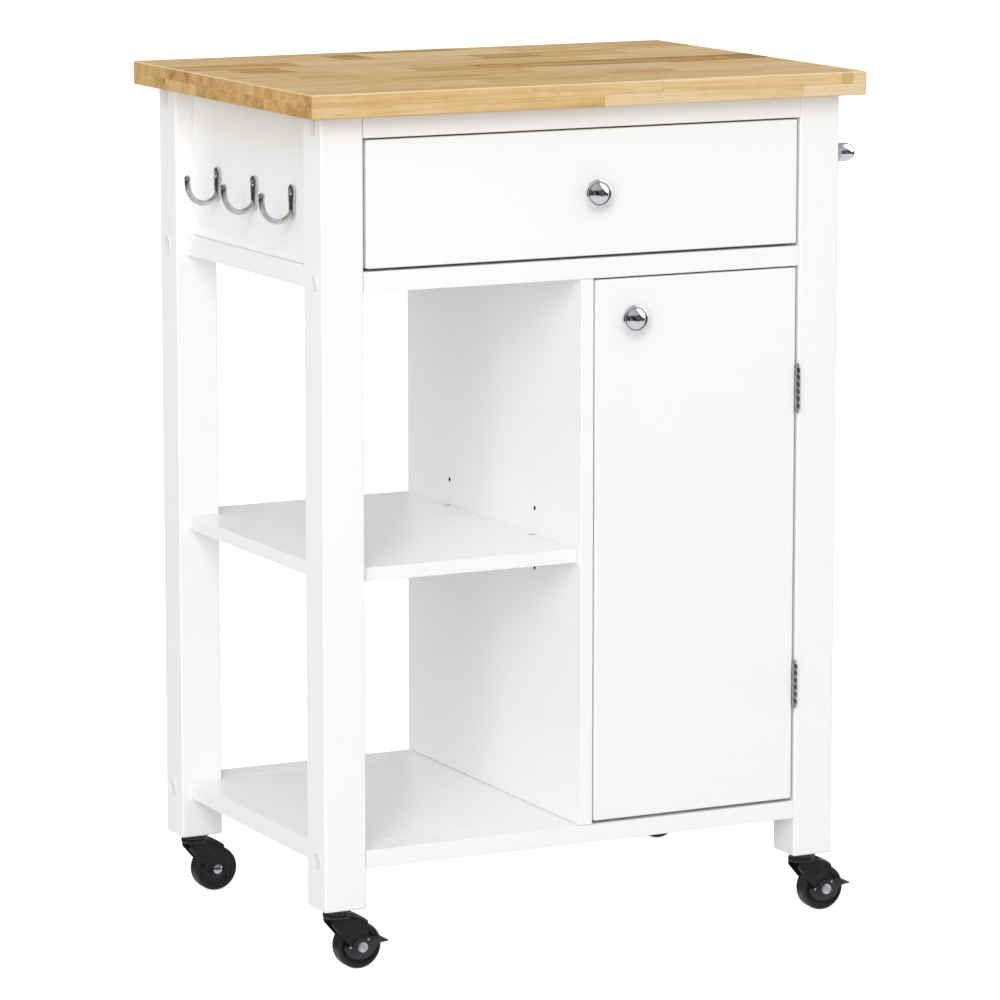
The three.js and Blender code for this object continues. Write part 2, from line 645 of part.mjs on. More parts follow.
// ---- the whole cart ----
addWorktop();
const CORNERS = [
  { name: 'front_left', sideX: -1, sideY: -1, braked: true },
  { name: 'front_right', sideX: 1, sideY: -1, braked: true },
  { name: 'back_left', sideX: -1, sideY: 1, braked: false },
  { name: 'back_right', sideX: 1, sideY: 1, braked: false },
];
for (const corner of CORNERS) {
  addLeg(corner.name, corner.sideX, corner.sideY);
  addCaster(corner.name, corner.sideX, corner.sideY, corner.braked);
}
addRails();
addDeck('middle_deck', [MIDDLE_DECK_BOTTOM, MIDDLE_DECK_TOP]);
addDeck('bottom_deck', [BOTTOM_DECK_BOTTOM, BOTTOM_DECK_TOP]);
addShelves();
addDivider();
addPanels();
addDrawer();
addDoor();
addHooks();
addTowelBar();

// The origin is the middle of the base of the whole object's box.
cart.updateMatrixWorld(true);
const extent = new THREE.Box3().setFromObject(cart, true);
const centre = extent.getCenter(new THREE.Vector3());
cart.position.set(-centre.x, -centre.y, -extent.min.z);

export default cart;
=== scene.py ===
import json
import math
import random

import bmesh
import bpy
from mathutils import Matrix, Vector

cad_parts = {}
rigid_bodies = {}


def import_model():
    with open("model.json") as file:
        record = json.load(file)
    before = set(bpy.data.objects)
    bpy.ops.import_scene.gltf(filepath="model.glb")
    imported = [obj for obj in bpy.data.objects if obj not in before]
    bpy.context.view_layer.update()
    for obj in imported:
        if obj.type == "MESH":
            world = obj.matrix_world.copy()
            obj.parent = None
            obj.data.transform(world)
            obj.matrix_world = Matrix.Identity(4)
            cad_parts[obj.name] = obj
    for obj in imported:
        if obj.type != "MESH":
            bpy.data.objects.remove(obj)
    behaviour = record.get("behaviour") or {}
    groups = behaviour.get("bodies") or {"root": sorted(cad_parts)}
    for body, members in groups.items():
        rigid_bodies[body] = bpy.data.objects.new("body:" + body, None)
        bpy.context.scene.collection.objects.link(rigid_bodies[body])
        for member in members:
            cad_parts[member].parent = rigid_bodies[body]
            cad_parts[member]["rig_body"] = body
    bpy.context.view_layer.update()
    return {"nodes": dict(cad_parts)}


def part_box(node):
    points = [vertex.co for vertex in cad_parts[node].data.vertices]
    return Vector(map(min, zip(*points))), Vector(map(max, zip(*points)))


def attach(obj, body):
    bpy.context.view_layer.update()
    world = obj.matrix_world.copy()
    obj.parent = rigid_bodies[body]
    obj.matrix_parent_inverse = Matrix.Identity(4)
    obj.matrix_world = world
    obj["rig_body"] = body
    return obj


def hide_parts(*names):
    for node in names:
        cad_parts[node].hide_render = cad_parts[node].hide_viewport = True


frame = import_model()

NODES = frame["nodes"]
MM = 0.001
CORNERS = ("front_left", "front_right", "back_left", "back_right")
BRAKED = ("front_left", "front_right")


# ---- node graphs
class Graph:
    """A node tree, with short calls for the nodes used here."""

    def __init__(self, tree, coordinates):
        self.tree = tree
        self.place = self.node("ShaderNodeTexCoord").outputs[coordinates]

    def node(self, kind, **settings):
        made = self.tree.nodes.new(kind)
        for key, value in settings.items():
            setattr(made, key, value)
        return made

    def feed(self, socket, value):
        if isinstance(value, bpy.types.NodeSocket):
            self.tree.links.new(value, socket)
        else:
            socket.default_value = value

    def math(self, operation, a, b=0.0, c=None, clamp=False):
        made = self.node("ShaderNodeMath", operation=operation, use_clamp=clamp)
        self.feed(made.inputs[0], a)
        self.feed(made.inputs[1], b)
        if c is not None:
            self.feed(made.inputs[2], c)
        return made.outputs[0]

    def times(self, a, b):
        return self.math("MULTIPLY", a, b)

    def total(self, first, *others):
        for term in others:
            first = self.math("ADD", first, term)
        return first

    def vector(self, operation, a, b):
        made = self.node("ShaderNodeVectorMath", operation=operation)
        self.feed(made.inputs[0], a)
        self.feed(made.inputs[1], b)
        return made.outputs["Vector"]

    def split(self, vector):
        made = self.node("ShaderNodeSeparateXYZ")
        self.feed(made.inputs[0], vector)
        return made.outputs

    def attribute(self, name):
        return self.node("ShaderNodeAttribute", attribute_name=name)

    def noise(self, scale, stretch=(1, 1, 1), at=None, detail=3.0, rough=0.55):
        where = self.vector("MULTIPLY", self.place if at is None else at, stretch)
        made = self.node("ShaderNodeTexNoise")
        self.feed(made.inputs["Vector"], where)
        for name, value in (("Scale", scale), ("Detail", detail), ("Roughness", rough)):
            made.inputs[name].default_value = value
        return made.outputs[0]

    def span(self, value, low, high, to_low=0.0, to_high=1.0, smooth=False):
        made = self.node("ShaderNodeMapRange")
        made.interpolation_type = "SMOOTHSTEP" if smooth else "LINEAR"
        self.feed(made.inputs["Value"], value)
        limits = {"From Min": low, "From Max": high, "To Min": to_low, "To Max": to_high}
        for name, value in limits.items():
            made.inputs[name].default_value = value
        return made.outputs[0]

    def ramp(self, value, stops):
        made = self.node("ShaderNodeValToRGB")
        points = made.color_ramp.elements
        while len(points) < len(stops):
            points.new(0.5)
        for point, (place, colour) in zip(points, stops):
            point.position = place
            point.color = (*colour, 1)
        self.feed(made.inputs[0], value)
        return made.outputs[0]

    def mix(self, factor, a, b, blend="MIX"):
        made = self.node("ShaderNodeMix", data_type="RGBA", blend_type=blend)
        self.feed(made.inputs[0], factor)
        self.feed(made.inputs[6], (*a, 1) if isinstance(a, tuple) else a)
        self.feed(made.inputs[7], (*b, 1) if isinstance(b, tuple) else b)
        return made.outputs[2]

    def bump(self, height, distance, strength=1.0, after=None):
        made = self.node("ShaderNodeBump")
        made.inputs["Strength"].default_value = strength
        made.inputs["Distance"].default_value = distance
        self.feed(made.inputs["Height"], height)
        if after is not None:
            self.feed(made.inputs["Normal"], after)
        return made.outputs[0]


class Surface(Graph):
    """A material's node tree, round its Principled shader."""

    def __init__(self, name, roughness=0.5, metallic=0.0):
        self.material = bpy.data.materials.new(name)
        self.material.use_nodes = True
        super().__init__(self.material.node_tree, "Object")
        self.shader = self.tree.nodes["Principled BSDF"]
        self.shader.inputs["Roughness"].default_value = roughness
        self.shader.inputs["Metallic"].default_value = metallic

    def finish(self, colour, roughness, normal=None):
        self.feed(self.shader.inputs["Base Color"], colour)
        self.feed(self.shader.inputs["Roughness"], roughness)
        if normal is not None:
            self.feed(self.shader.inputs["Normal"], normal)
        return self.material


# ---- materials
def painted(name, light, shade, roughness):
    """Sprayed satin paint: a faint drift of tone, orange peel, and a few dull scuffs."""
    g = Surface(name)
    drift = g.span(g.noise(2.6, detail=4), 0.35, 0.65)
    colour = g.mix(drift, shade, light)
    scuff = g.span(g.noise(34, (1, 1, 0.25), detail=6, rough=0.7), 0.66, 0.78, smooth=True)
    colour = g.mix(g.times(scuff, 0.1), colour, (0.62, 0.6, 0.57))
    peel = g.noise(520, detail=2, rough=0.5)
    cloud = g.span(g.noise(46, detail=3), 0.3, 0.7, -0.04, 0.05)
    sheen = g.total(cloud, roughness, g.times(scuff, 0.12))
    normal = g.bump(g.noise(58, detail=2), 0.00025, 0.25)
    normal = g.bump(peel, 0.00006, 0.5, after=normal)
    g.shader.inputs["Specular IOR Level"].default_value = 0.2
    return g.finish(colour, sheen, normal)


WOOD_STOPS = [
    (0.0, (0.83, 0.68, 0.45)),
    (0.34, (0.73, 0.515, 0.25)),
    (0.58, (0.6, 0.37, 0.14)),
    (0.8, (0.41, 0.22, 0.078)),
    (1.0, (0.25, 0.122, 0.042)),
]
CAD_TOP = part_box("worktop")
WORKTOP_ARRIS = 1.6 * MM
KNOT_SPOT = (CAD_TOP[0].x, CAD_TOP[1].y - 85 * MM, 899 * MM)
RING_WIDTH = 0.0052


def butcher_block():
    """Glued hardwood staves: solid wood that runs along X, with its own rings in every stave."""
    g = Surface("butcher_block")
    tone, seed, burl = g.split(g.attribute("stave").outputs["Vector"])
    cell = g.attribute("cell").outputs["Vector"]
    edges = g.attribute("edges")
    shift = g.node("ShaderNodeCombineXYZ")
    for socket, rate in zip(shift.inputs, (7.3, 3.1, 5.9)):
        g.feed(socket, g.times(seed, rate))
    here = g.vector("ADD", cell, shift.outputs[0])

    # growth rings: circles round a pith that lies outside the stave
    x, y, z = g.split(cell)
    pith_y = g.span(g.math("FRACT", g.times(seed, 13.7)), 0, 1, -0.09, 0.09)
    pith_z = g.span(g.math("FRACT", g.times(seed, 7.9)), 0, 1, -0.11, -0.02)
    dy = g.math("ADD", y, pith_y)
    dz = g.math("ADD", z, pith_z)
    radius = g.math("SQRT", g.math("ADD", g.times(dy, dy), g.times(dz, dz)))
    bend = g.span(g.noise(1, (2.4, 16, 16), here, detail=2), 0, 1, -0.011, 0.011)
    rings = g.times(g.math("ADD", radius, bend), 2 * math.pi / RING_WIDTH)
    rings = g.span(g.math("SINE", rings), -1, 1)
    rings = g.math("POWER", rings, 1.6)

    streak = g.noise(1, (4, 55, 55), here, detail=3, rough=0.6)
    fibre = g.noise(1, (16, 620, 620), here, detail=3, rough=0.7)
    flame = g.noise(1, (38, 70, 70), here, detail=2)
    shade = g.total(
        tone,
        g.span(rings, 0, 1, -0.03, 0.035),
        g.span(streak, 0.3, 0.7, -0.13, 0.13),
        g.span(fibre, 0.3, 0.7, -0.07, 0.07),
        g.span(flame, 0.3, 0.7, -0.05, 0.05),
        g.times(burl, g.span(streak, 0.48, 0.66, 0, 0.5)),
    )
    colour = g.ramp(shade, WOOD_STOPS)

    pores = g.noise(1, (95, 1500, 1500), here, detail=2, rough=0.6)
    pores = g.span(pores, 0.63, 0.74, smooth=True)
    colour = g.mix(g.times(pores, 0.42), colour, (0.2, 0.1, 0.035))
    fleck = g.span(g.noise(1, (210, 260, 900), here, detail=1), 0.68, 0.76, smooth=True)
    colour = g.mix(g.times(fleck, 0.22), colour, (0.78, 0.6, 0.38))

    # glue lines between the staves
    left, right, low = g.split(edges.outputs["Color"])
    sideways = g.math("MINIMUM", left, right)
    upright = g.math("MINIMUM", low, edges.outputs["Alpha"])
    nearest = g.math("MINIMUM", sideways, upright)
    line = g.span(nearest, 0.00012, 0.00055, 1, 0, smooth=True)
    colour = g.mix(g.times(line, 0.2), colour, (0.24, 0.12, 0.045))

    # one small knot near the back of the left end
    aim = g.node("ShaderNodeVectorMath", operation="DISTANCE")
    g.feed(aim.inputs[0], g.place)
    aim.inputs[1].default_value = KNOT_SPOT
    knot = g.math("ADD", aim.outputs["Value"], g.span(streak, 0.3, 0.7, -0.0008, 0.0008))
    knot = g.span(knot, 0.0012, 0.0042, 0.7, 0, smooth=True)
    colour = g.mix(knot, colour, (0.16, 0.075, 0.03))

    # the eased arris round the upper face is painted paler: a painted highlight along the edge
    px, py, pz = g.split(g.place)
    past = []
    for value, low, high in ((px, CAD_TOP[0].x, CAD_TOP[1].x), (py, CAD_TOP[0].y, CAD_TOP[1].y)):
        offset = g.math("ABSOLUTE", g.math("SUBTRACT", value, (low + high) / 2))
        past.append(g.math("SUBTRACT", offset, (high - low) / 2 - WORKTOP_ARRIS))
    rim = g.math("MAXIMUM", past[0], past[1])
    rim = g.math("MINIMUM", rim, g.math("SUBTRACT", pz, CAD_TOP[1].z - WORKTOP_ARRIS))
    rim = g.span(rim, 0.0001, 0.0005, 0, 0.55, smooth=True)
    colour = g.mix(rim, colour, (0.9, 0.76, 0.55))

    gloss = g.span(fibre, 0.3, 0.7, 0.46, 0.58)
    gloss = g.math("ADD", gloss, g.times(pores, 0.15))
    height = g.math("SUBTRACT", g.times(fibre, 0.5), pores)
    normal = g.bump(height, 0.00012, 0.45)
    normal = g.bump(g.times(line, -1), 0.0001, 0.3, after=normal)
    g.shader.inputs["Specular IOR Level"].default_value = 0.12
    return g.finish(colour, gloss, normal)


def plated(name, colour, worn, roughness, smear=0.06):
    """Bright or dull plated metal, with faint smears, pits and polishing lines."""
    g = Surface(name, metallic=1.0)
    cloud = g.span(g.noise(120, detail=4, rough=0.6), 0.35, 0.7)
    tint = g.mix(cloud, colour, worn)
    gloss = g.math("ADD", g.times(cloud, smear), roughness)
    fine = g.noise(900, (1, 1, 6), detail=2)
    gloss = g.math("ADD", gloss, g.span(fine, 0.3, 0.7, -smear * 0.3, smear * 0.3))
    normal = g.bump(fine, 0.00002, 0.25)
    return g.finish(tint, gloss, normal)


def coated(name, colour, rubbed, roughness, grit):
    """Black coating or moulded plastic: fine grit, dust in patches, and rubbed spots."""
    g = Surface(name)
    patch = g.span(g.noise(70, detail=5, rough=0.65), 0.45, 0.72, smooth=True)
    tint = g.mix(g.times(patch, 0.25), colour, rubbed)
    gloss = g.math("ADD", g.span(g.noise(240, detail=2), 0.3, 0.7, -0.06, 0.08), roughness)
    normal = g.bump(g.noise(1500, detail=2), 0.00004, grit)
    return g.finish(tint, gloss, normal)


def hole_shade_board(name):
    """Pressed board inside a drilled hole: brown, coarse and dull, and coloured near black as painted shade
    of the deep hole.
    """
    g = Surface(name, roughness=0.9)
    chips = g.noise(900, detail=4, rough=0.7)
    tint = g.mix(g.span(chips, 0.35, 0.65), (0.012, 0.009, 0.007), (0.05, 0.034, 0.022))
    return g.finish(tint, g.span(chips, 0.3, 0.7, 0.8, 0.95), g.bump(chips, 0.0002, 0.5))


WHITE = painted("white_paint", (0.95, 0.95, 0.952), (0.935, 0.933, 0.931), 0.36)
BOARD = painted("drawer_board", (0.86, 0.85, 0.82), (0.82, 0.805, 0.77), 0.5)
CAP = painted("cap_plastic", (0.85, 0.848, 0.84), (0.81, 0.808, 0.795), 0.3)
WOOD = butcher_block()
CHROME = plated("chrome", (0.86, 0.865, 0.89), (0.8, 0.8, 0.83), 0.06)
NICKEL = plated("nickel", (0.71, 0.715, 0.74), (0.52, 0.52, 0.55), 0.24)
NUT = plated("bright_zinc", (0.97, 0.97, 0.98), (0.84, 0.84, 0.86), 0.48, 0.1)
HINGE = plated("hinge_steel", (0.66, 0.66, 0.69), (0.46, 0.46, 0.485), 0.2, 0.1)
ZINC = plated("zinc_steel", (0.74, 0.75, 0.76), (0.62, 0.62, 0.62), 0.28, 0.12)
BLACK_STEEL = coated("black_steel", (0.014, 0.014, 0.016), (0.05, 0.05, 0.052), 0.24, 0.25)
PEDAL = coated("pedal_steel", (0.025, 0.025, 0.028), (0.06, 0.06, 0.063), 0.36, 0.3)
BLACK_PLASTIC = coated("black_plastic", (0.016, 0.015, 0.017), (0.05, 0.048, 0.048), 0.42, 0.4)
HOLE = hole_shade_board("painted_hole_shade")

# a finish has a slot of its own name, except these, which share another finish's slot
SHARED_SLOTS = {
    "cap_plastic": "white_paint",
    "nickel": "chrome",
    "bright_zinc": "zinc_steel",
    "pedal_steel": "black_steel",
    "painted_hole_shade": "black_plastic",
}


def slot_of(material):
    # Blender puts .001 after a name that is in use already
    name = material.name.split(".")[0]
    return SHARED_SLOTS.get(name, name)


# ---- mesh building
def body_of(node):
    return NODES[node]["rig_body"]


def mesh_of(name, bm, material):
    bmesh.ops.recalc_face_normals(bm, faces=bm.faces)
    mesh = bpy.data.meshes.new(name)
    bm.to_mesh(mesh)
    bm.free()
    mesh.materials.append(material)
    return mesh


def stand(name, data):
    """Puts an object with this mesh, light or camera in the scene."""
    made = bpy.data.objects.new(name, data)
    bpy.context.scene.collection.objects.link(made)
    return made


def piece(name, bm, material, nodes=(), body=None, sharp=38.0, weighted=False):
    """Turns a bmesh into a scene object that rides on its body and stands for its CAD nodes."""
    mesh = mesh_of(name, bm, material)
    for polygon in mesh.polygons:
        polygon.use_smooth = True
    mesh.set_sharp_from_angle(angle=math.radians(sharp))
    made = stand(name, mesh)
    if weighted:
        modifier = made.modifiers.new("flat_faces", "WEIGHTED_NORMAL")
        modifier.keep_sharp = True
    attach(made, body or body_of(nodes[0]))
    if nodes:
        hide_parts(*nodes)
    slot_of(material)
    return made


def round_edges(bm, radius, segments=3, angle=40.0):
    limit = math.radians(angle)
    hard = [e for e in bm.edges if len(e.link_faces) == 2 and e.calc_face_angle() > limit]
    bmesh.ops.bevel(
        bm,
        geom=hard,
        offset=radius,
        offset_type="OFFSET",
        segments=segments,
        profile=0.5,
        affect="EDGES",
        clamp_overlap=True,
    )


def block(lo, hi, radius=0.0, segments=3, bm=None):
    """A box from its lowest and highest corners, with rounded edges."""
    solo = bmesh.new()
    made = bmesh.ops.create_cube(solo, size=1)
    for vert in made["verts"]:
        vert.co = Vector(lo[i] + (vert.co[i] + 0.5) * (hi[i] - lo[i]) for i in range(3))
    if radius:
        round_edges(solo, radius, segments)
    return merge(solo, bm)


def merge(solo, bm):
    """Adds one bmesh to another, or returns it alone."""
    if bm is None:
        return solo
    spare = bpy.data.meshes.new("spare")
    solo.to_mesh(spare)
    solo.free()
    bm.from_mesh(spare)
    bpy.data.meshes.remove(spare)
    return bm


def fillet(points, radii, steps=5):
    """Rounds the corners of a line of 2-D points. radii is one radius, or one for each point."""
    count = len(points)
    if not hasattr(radii, "__len__"):
        radii = [radii] * count
    out = []
    for i, point in enumerate(points):
        here = Vector(point)
        if radii[i] <= 0 or i in (0, count - 1):
            out.append(tuple(here))
            continue
        to_last = Vector(points[i - 1]) - here
        to_next = Vector(points[i + 1]) - here
        turn = to_last.angle(to_next)
        reach = radii[i] / math.tan(turn / 2)
        reach = min(reach, 0.49 * to_last.length, 0.49 * to_next.length)
        start = here + to_last.normalized() * reach
        end = here + to_next.normalized() * reach
        for k in range(steps + 1):
            t = k / steps
            out.append(tuple(start * (1 - t) ** 2 + here * 2 * t * (1 - t) + end * t * t))
    return out


def in_mm(profile):
    """Points given in millimetres, in metres."""
    return [(a * MM, b * MM) for a, b in profile]


def lathe(profile, place, sides=48, bm=None):
    """A turned shape from [radius, height] points. place(x, y, height) gives the point in the frame."""
    bm = bm or bmesh.new()
    rings = []
    for radius, height in profile:
        if radius < 1e-7:
            rings.append([bm.verts.new(place(0, 0, height))])
            continue
        ring = []
        for k in range(sides):
            angle = 2 * math.pi * k / sides
            ring.append(bm.verts.new(place(radius * math.cos(angle), radius * math.sin(angle), height)))
        rings.append(ring)
    for low, high in zip(rings, rings[1:]):
        if len(low) == 1 and len(high) == 1:
            continue
        for k in range(sides):
            n = (k + 1) % sides
            if len(low) == 1:
                bm.faces.new((low[0], high[k], high[n]))
            elif len(high) == 1:
                bm.faces.new((low[k], high[0], low[n]))
            else:
                bm.faces.new((low[k], low[n], high[n], high[k]))
    return bm


def plate(outline, low, high, place, radius=0.0, segments=2, bm=None):
    """A flat plate from a 2-D outline, between two heights. place(a, b, height) gives the point."""
    solo = bmesh.new()
    bottom = [solo.verts.new(place(a, b, low)) for a, b in outline]
    top = [solo.verts.new(place(a, b, high)) for a, b in outline]
    solo.faces.new(bottom)
    solo.faces.new(list(reversed(top)))
    count = len(outline)
    for k in range(count):
        n = (k + 1) % count
        solo.faces.new((bottom[k], top[k], top[n], bottom[n]))
    bmesh.ops.recalc_face_normals(solo, faces=solo.faces)
    if radius:
        round_edges(solo, radius, segments, 50)
    return merge(solo, bm)


def curve_point(a, b, c, d, t):
    """The point at share t between b and c on a Catmull-Rom curve through four points."""
    bend = (2 * a - 5 * b + 4 * c - d) * t * t
    return 0.5 * (2 * b + (c - a) * t + bend + (3 * b - a - 3 * c + d) * t**3)


def smooth_line(points, steps):
    """A Catmull-Rom line through 3-D points."""
    pts = [Vector(p) for p in points]
    pts = [2 * pts[0] - pts[1], *pts, 2 * pts[-1] - pts[-2]]
    out = []
    for i in range(1, len(pts) - 2):
        for k in range(steps):
            out.append(curve_point(*pts[i - 1 : i + 3], k / steps))
    return [*out, pts[-2]]


def sweep(line, section, across, sides=24, bm=None):
    """A bar along a line. section(share) gives its half sizes; across is a direction it stays square to."""
    bm = bm or bmesh.new()
    rings = []
    last = len(line) - 1
    for i, point in enumerate(line):
        along = (line[min(i + 1, last)] - line[max(i - 1, 0)]).normalized()
        wide = Vector(across) - along * along.dot(Vector(across))
        wide.normalize()
        thick = along.cross(wide)
        half_wide, half_thick = section(i / last)
        ring = []
        for k in range(sides):
            angle = 2 * math.pi * k / sides
            offset = wide * math.cos(angle) * half_wide + thick * math.sin(angle) * half_thick
            ring.append(bm.verts.new(point + offset))
        rings.append(ring)
    for low, high in zip(rings, rings[1:]):
        for k in range(sides):
            n = (k + 1) % sides
            bm.faces.new((low[k], low[n], high[n], high[k]))
    bm.faces.new(rings[0])
    bm.faces.new(list(reversed(rings[-1])))
    return bm


def about(axis, centre, sign=1):
    """A place function that turns a lathe's height axis onto a frame axis."""
    cx, cy, cz = centre
    return {
        "x": lambda a, b, h: (cx + sign * h, cy + a, cz + b),
        "y": lambda a, b, h: (cx + a, cy + sign * h, cz + b),
        "z": lambda a, b, h: (cx + a, cy + b, cz + sign * h),
    }[axis]


def middle(node):
    lo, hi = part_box(node)
    return (lo + hi) / 2


ORIGIN = middle("worktop")


def at(x, y, z):
    """A point from millimetres off the middle of the worktop, with its height above the floor."""
    return Vector((ORIGIN.x + x * MM, ORIGIN.y + y * MM, z * MM))


# ---- the worktop
# Rows of staves from back to front: where the row ends, then its staves as (end, tone, streak),
# with the streak left out where there is none.
# Lengths are in millimetres from the back edge and the left end.
UPPER_ROWS = [
    (34, [(118, 0.34), (262, 0.42), (372, 0.62, 0.5), (520, 0.36), (642, 0.44)]),
    (92, [(84, 0.38), (206, 0.4), (247, 0.68, 0.7), (424, 0.26), (560, 0.4), (642, 0.46, 0.3)]),
    (150, [(137, 0.46, 0.5), (352, 0.36), (424, 0.6, 0.5), (530, 0.46, 0.2), (642, 0.3)]),
    (207, [(42, 0.4), (100, 0.6, 0.6), (236, 0.34), (452, 0.4), (642, 0.32)]),
    (265, [(132, 0.42), (222, 0.34), (296, 0.5, 0.2), (346, 0.66, 0.3), (596, 0.6, 0.5), (642, 0.76, 0.4)]),
    (321, [(76, 0.36), (238, 0.44), (330, 0.4, 0.2), (508, 0.3), (642, 0.42, 0.2)]),
    (376, [(150, 0.42), (262, 0.48, 0.2), (388, 0.4), (468, 0.48, 0.1), (642, 0.3)]),
    (430, [(96, 0.4), (226, 0.34), (366, 0.46, 0.1), (548, 0.38), (642, 0.34)]),
    (464, [(248, 0.46), (398, 0.44, 0.1), (612, 0.33), (625, 0.48, 0.1), (642, 0.27)]),
]
LOWER_ROWS = [
    (31, [(200, 0.3), (430, 0.4), (642, 0.36)]),
    (60, [(150, 0.36), (380, 0.44, 0.2), (642, 0.4)]),
    (86, [(90, 0.42, 0.2), (300, 0.4), (642, 0.44)]),
    (172, [(240, 0.26), (410, 0.42), (642, 0.36)]),
    (232, [(120, 0.44), (350, 0.36), (642, 0.44)]),
    (290, [(190, 0.38), (470, 0.42), (642, 0.4)]),
    (345, [(110, 0.42, 0.3), (330, 0.36), (642, 0.4)]),
    (400, [(260, 0.36), (420, 0.44), (642, 0.38)]),
    (464, [(330, 0.45), (565, 0.31, 0.1), (642, 0.25)]),
]
END_GRAIN_TONE = 0.2
END_GRAIN_STREAK = 0.25  # share of a streak that shows on the end grain
FRONT_GRAIN_TONE = -0.05
TONE_JITTER = 0.015
OUTER = 1.0  # stands for "no glue line on this side", at the slab's own faces


def stave_table():
    """The staves of both layers as boxes in the frame, with tone, seed and streak."""
    lo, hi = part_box("worktop")
    mid = (lo.z + hi.z) / 2
    draw = random.Random(7)
    staves = []
    for rows, z in ((LOWER_ROWS, (lo.z, mid)), (UPPER_ROWS, (mid, hi.z))):
        back = hi.y
        for depth, row in rows:
            front = hi.y - depth * MM
            left = lo.x
            for end, tone, *streak in row:
                right = lo.x + end * MM
                box = ((left, right), (front, back), z)
                jitter = draw.uniform(-TONE_JITTER, TONE_JITTER)
                staves.append((box, (tone + jitter, draw.uniform(1, 9), sum(streak))))
                left = right
            back = front
    return staves, lo, hi


def worktop():
    staves, lo, hi = stave_table()
    breaks = [sorted({round(v, 6) for box, _ in staves for v in box[axis]}) for axis in range(3)]
    bm = bmesh.new()
    verts = {}

    def corner(i, j, k):
        key = (i, j, k)
        if key not in verts:
            verts[key] = bm.verts.new((breaks[0][i], breaks[1][j], breaks[2][k]))
        return verts[key]

    tone_layer = bm.faces.layers.float_vector.new("stave")
    cell_layer = bm.loops.layers.float_vector.new("cell")
    edge_layer = bm.loops.layers.float_color.new("edges")
    last = [len(b) - 1 for b in breaks]

    def stave_at(point):
        for box, look in staves:
            if all(box[a][0] <= point[a] <= box[a][1] for a in range(3)):
                return box, look
        raise ValueError(f"no stave at {point}")

    def face(axis, side, i, j):
        others = [a for a in range(3) if a != axis]
        keys = []
        for di, dj in ((0, 0), (1, 0), (1, 1), (0, 1)):
            key = [0, 0, 0]
            key[axis] = side
            key[others[0]] = i + di
            key[others[1]] = j + dj
            keys.append(tuple(key))
        made = bm.faces.new([corner(*key) for key in keys])
        centre = made.calc_center_median()
        inside = list(centre)
        inside[axis] += -1e-4 if side else 1e-4
        box, look = stave_at(inside)
        tone, seed, streak = look
        shown_streak = streak * END_GRAIN_STREAK if axis == 0 else streak
        made[tone_layer] = (tone + (END_GRAIN_TONE, FRONT_GRAIN_TONE, 0.0)[axis], seed, shown_streak)
        for loop in made.loops:
            at_vert = loop.vert.co
            loop[cell_layer] = [at_vert[a] - sum(box[a]) / 2 for a in range(3)]
            gaps = []
            for a in others:
                gaps.append(at_vert[a] - box[a][0] if box[a][0] > lo[a] + 1e-5 else OUTER)
                gaps.append(box[a][1] - at_vert[a] if box[a][1] < hi[a] - 1e-5 else OUTER)
            loop[edge_layer] = gaps

    for axis in range(3):
        others = [a for a in range(3) if a != axis]
        for side in (0, last[axis]):
            for i in range(last[others[0]]):
                for j in range(last[others[1]]):
                    face(axis, side, i, j)
    bmesh.ops.recalc_face_normals(bm, faces=bm.faces)
    round_edges(bm, WORKTOP_ARRIS, 3)
    piece("worktop_staves", bm, WOOD, ["worktop"], weighted=True)


# ---- white boards and posts
ARRIS = {"leg": 2.2 * MM, "front": 1.8 * MM, "board": 0.8 * MM, "drawer": 0.7 * MM}
PIN_ROWS = (388.5, 420.5, 452.5)
PIN_Y = 103
PIN_RADIUS = 2.5
PIN_DEPTH = 6
PIN_SIDES = 24
SEAM = 0.3 * MM


def boards():
    """Every plain board is its CAD box with eased edges."""
    plain = {
        "leg": [f"leg_{corner}" for corner in CORNERS],
        "front": ["drawer_front", "door_panel"],
        "board": [
            *(f"{side}_{level}_rail" for side in ("front", "back") for level in ("top", "middle", "bottom")),
            "left_upper_panel",
            "right_upper_panel",
            "right_lower_panel",
            "upper_back_panel",
            "cupboard_back",
            "cupboard_shelf",
        ],
        "drawer": ["drawer_left_side", "drawer_right_side", "drawer_back", "drawer_bottom"],
    }
    for kind, names in plain.items():
        finish = BOARD if kind == "drawer" else WHITE
        for name in names:
            lo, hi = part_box(name)
            bm = block(lo, hi, ARRIS[kind], 4 if kind == "leg" else 3)
            piece(f"{name}_eased", bm, finish, [name], weighted=True)


def cross_boards():
    """The decks and the open shelf, whose ends reach out between the legs."""
    leg_lo, leg_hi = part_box("leg_back_left")
    front_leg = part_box("leg_front_left")[1]
    for name in ("middle_deck", "bottom_deck", "open_shelf"):
        lo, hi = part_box(name)
        inner = leg_hi.x + SEAM
        near, far = front_leg.y + SEAM, leg_lo.y - SEAM
        if name == "open_shelf":
            outline = [(inner, lo.y), (hi.x, lo.y), (hi.x, hi.y), (inner, hi.y)]
        else:
            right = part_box("leg_back_right")[0].x - SEAM
            outline = [(inner, lo.y), (right, lo.y), (right, near), (hi.x, near)]
            outline += [(hi.x, far), (right, far), (right, hi.y), (inner, hi.y)]
        outline += [(inner, far), (lo.x, far), (lo.x, near), (inner, near)]
        bm = plate(outline, lo.z, hi.z, lambda a, b, h: (a, b, h), ARRIS["board"], 3)
        piece(f"{name}_eased", bm, WHITE, [name], weighted=True)


def on_rim(edge, lo, hi):
    """Whether an edge lies in one of a board's four narrow sides."""
    return any(
        all(abs(vert.co[k] - limit[k]) < 1e-6 for vert in edge.verts)
        for k in (1, 2)
        for limit in (lo, hi)
    )


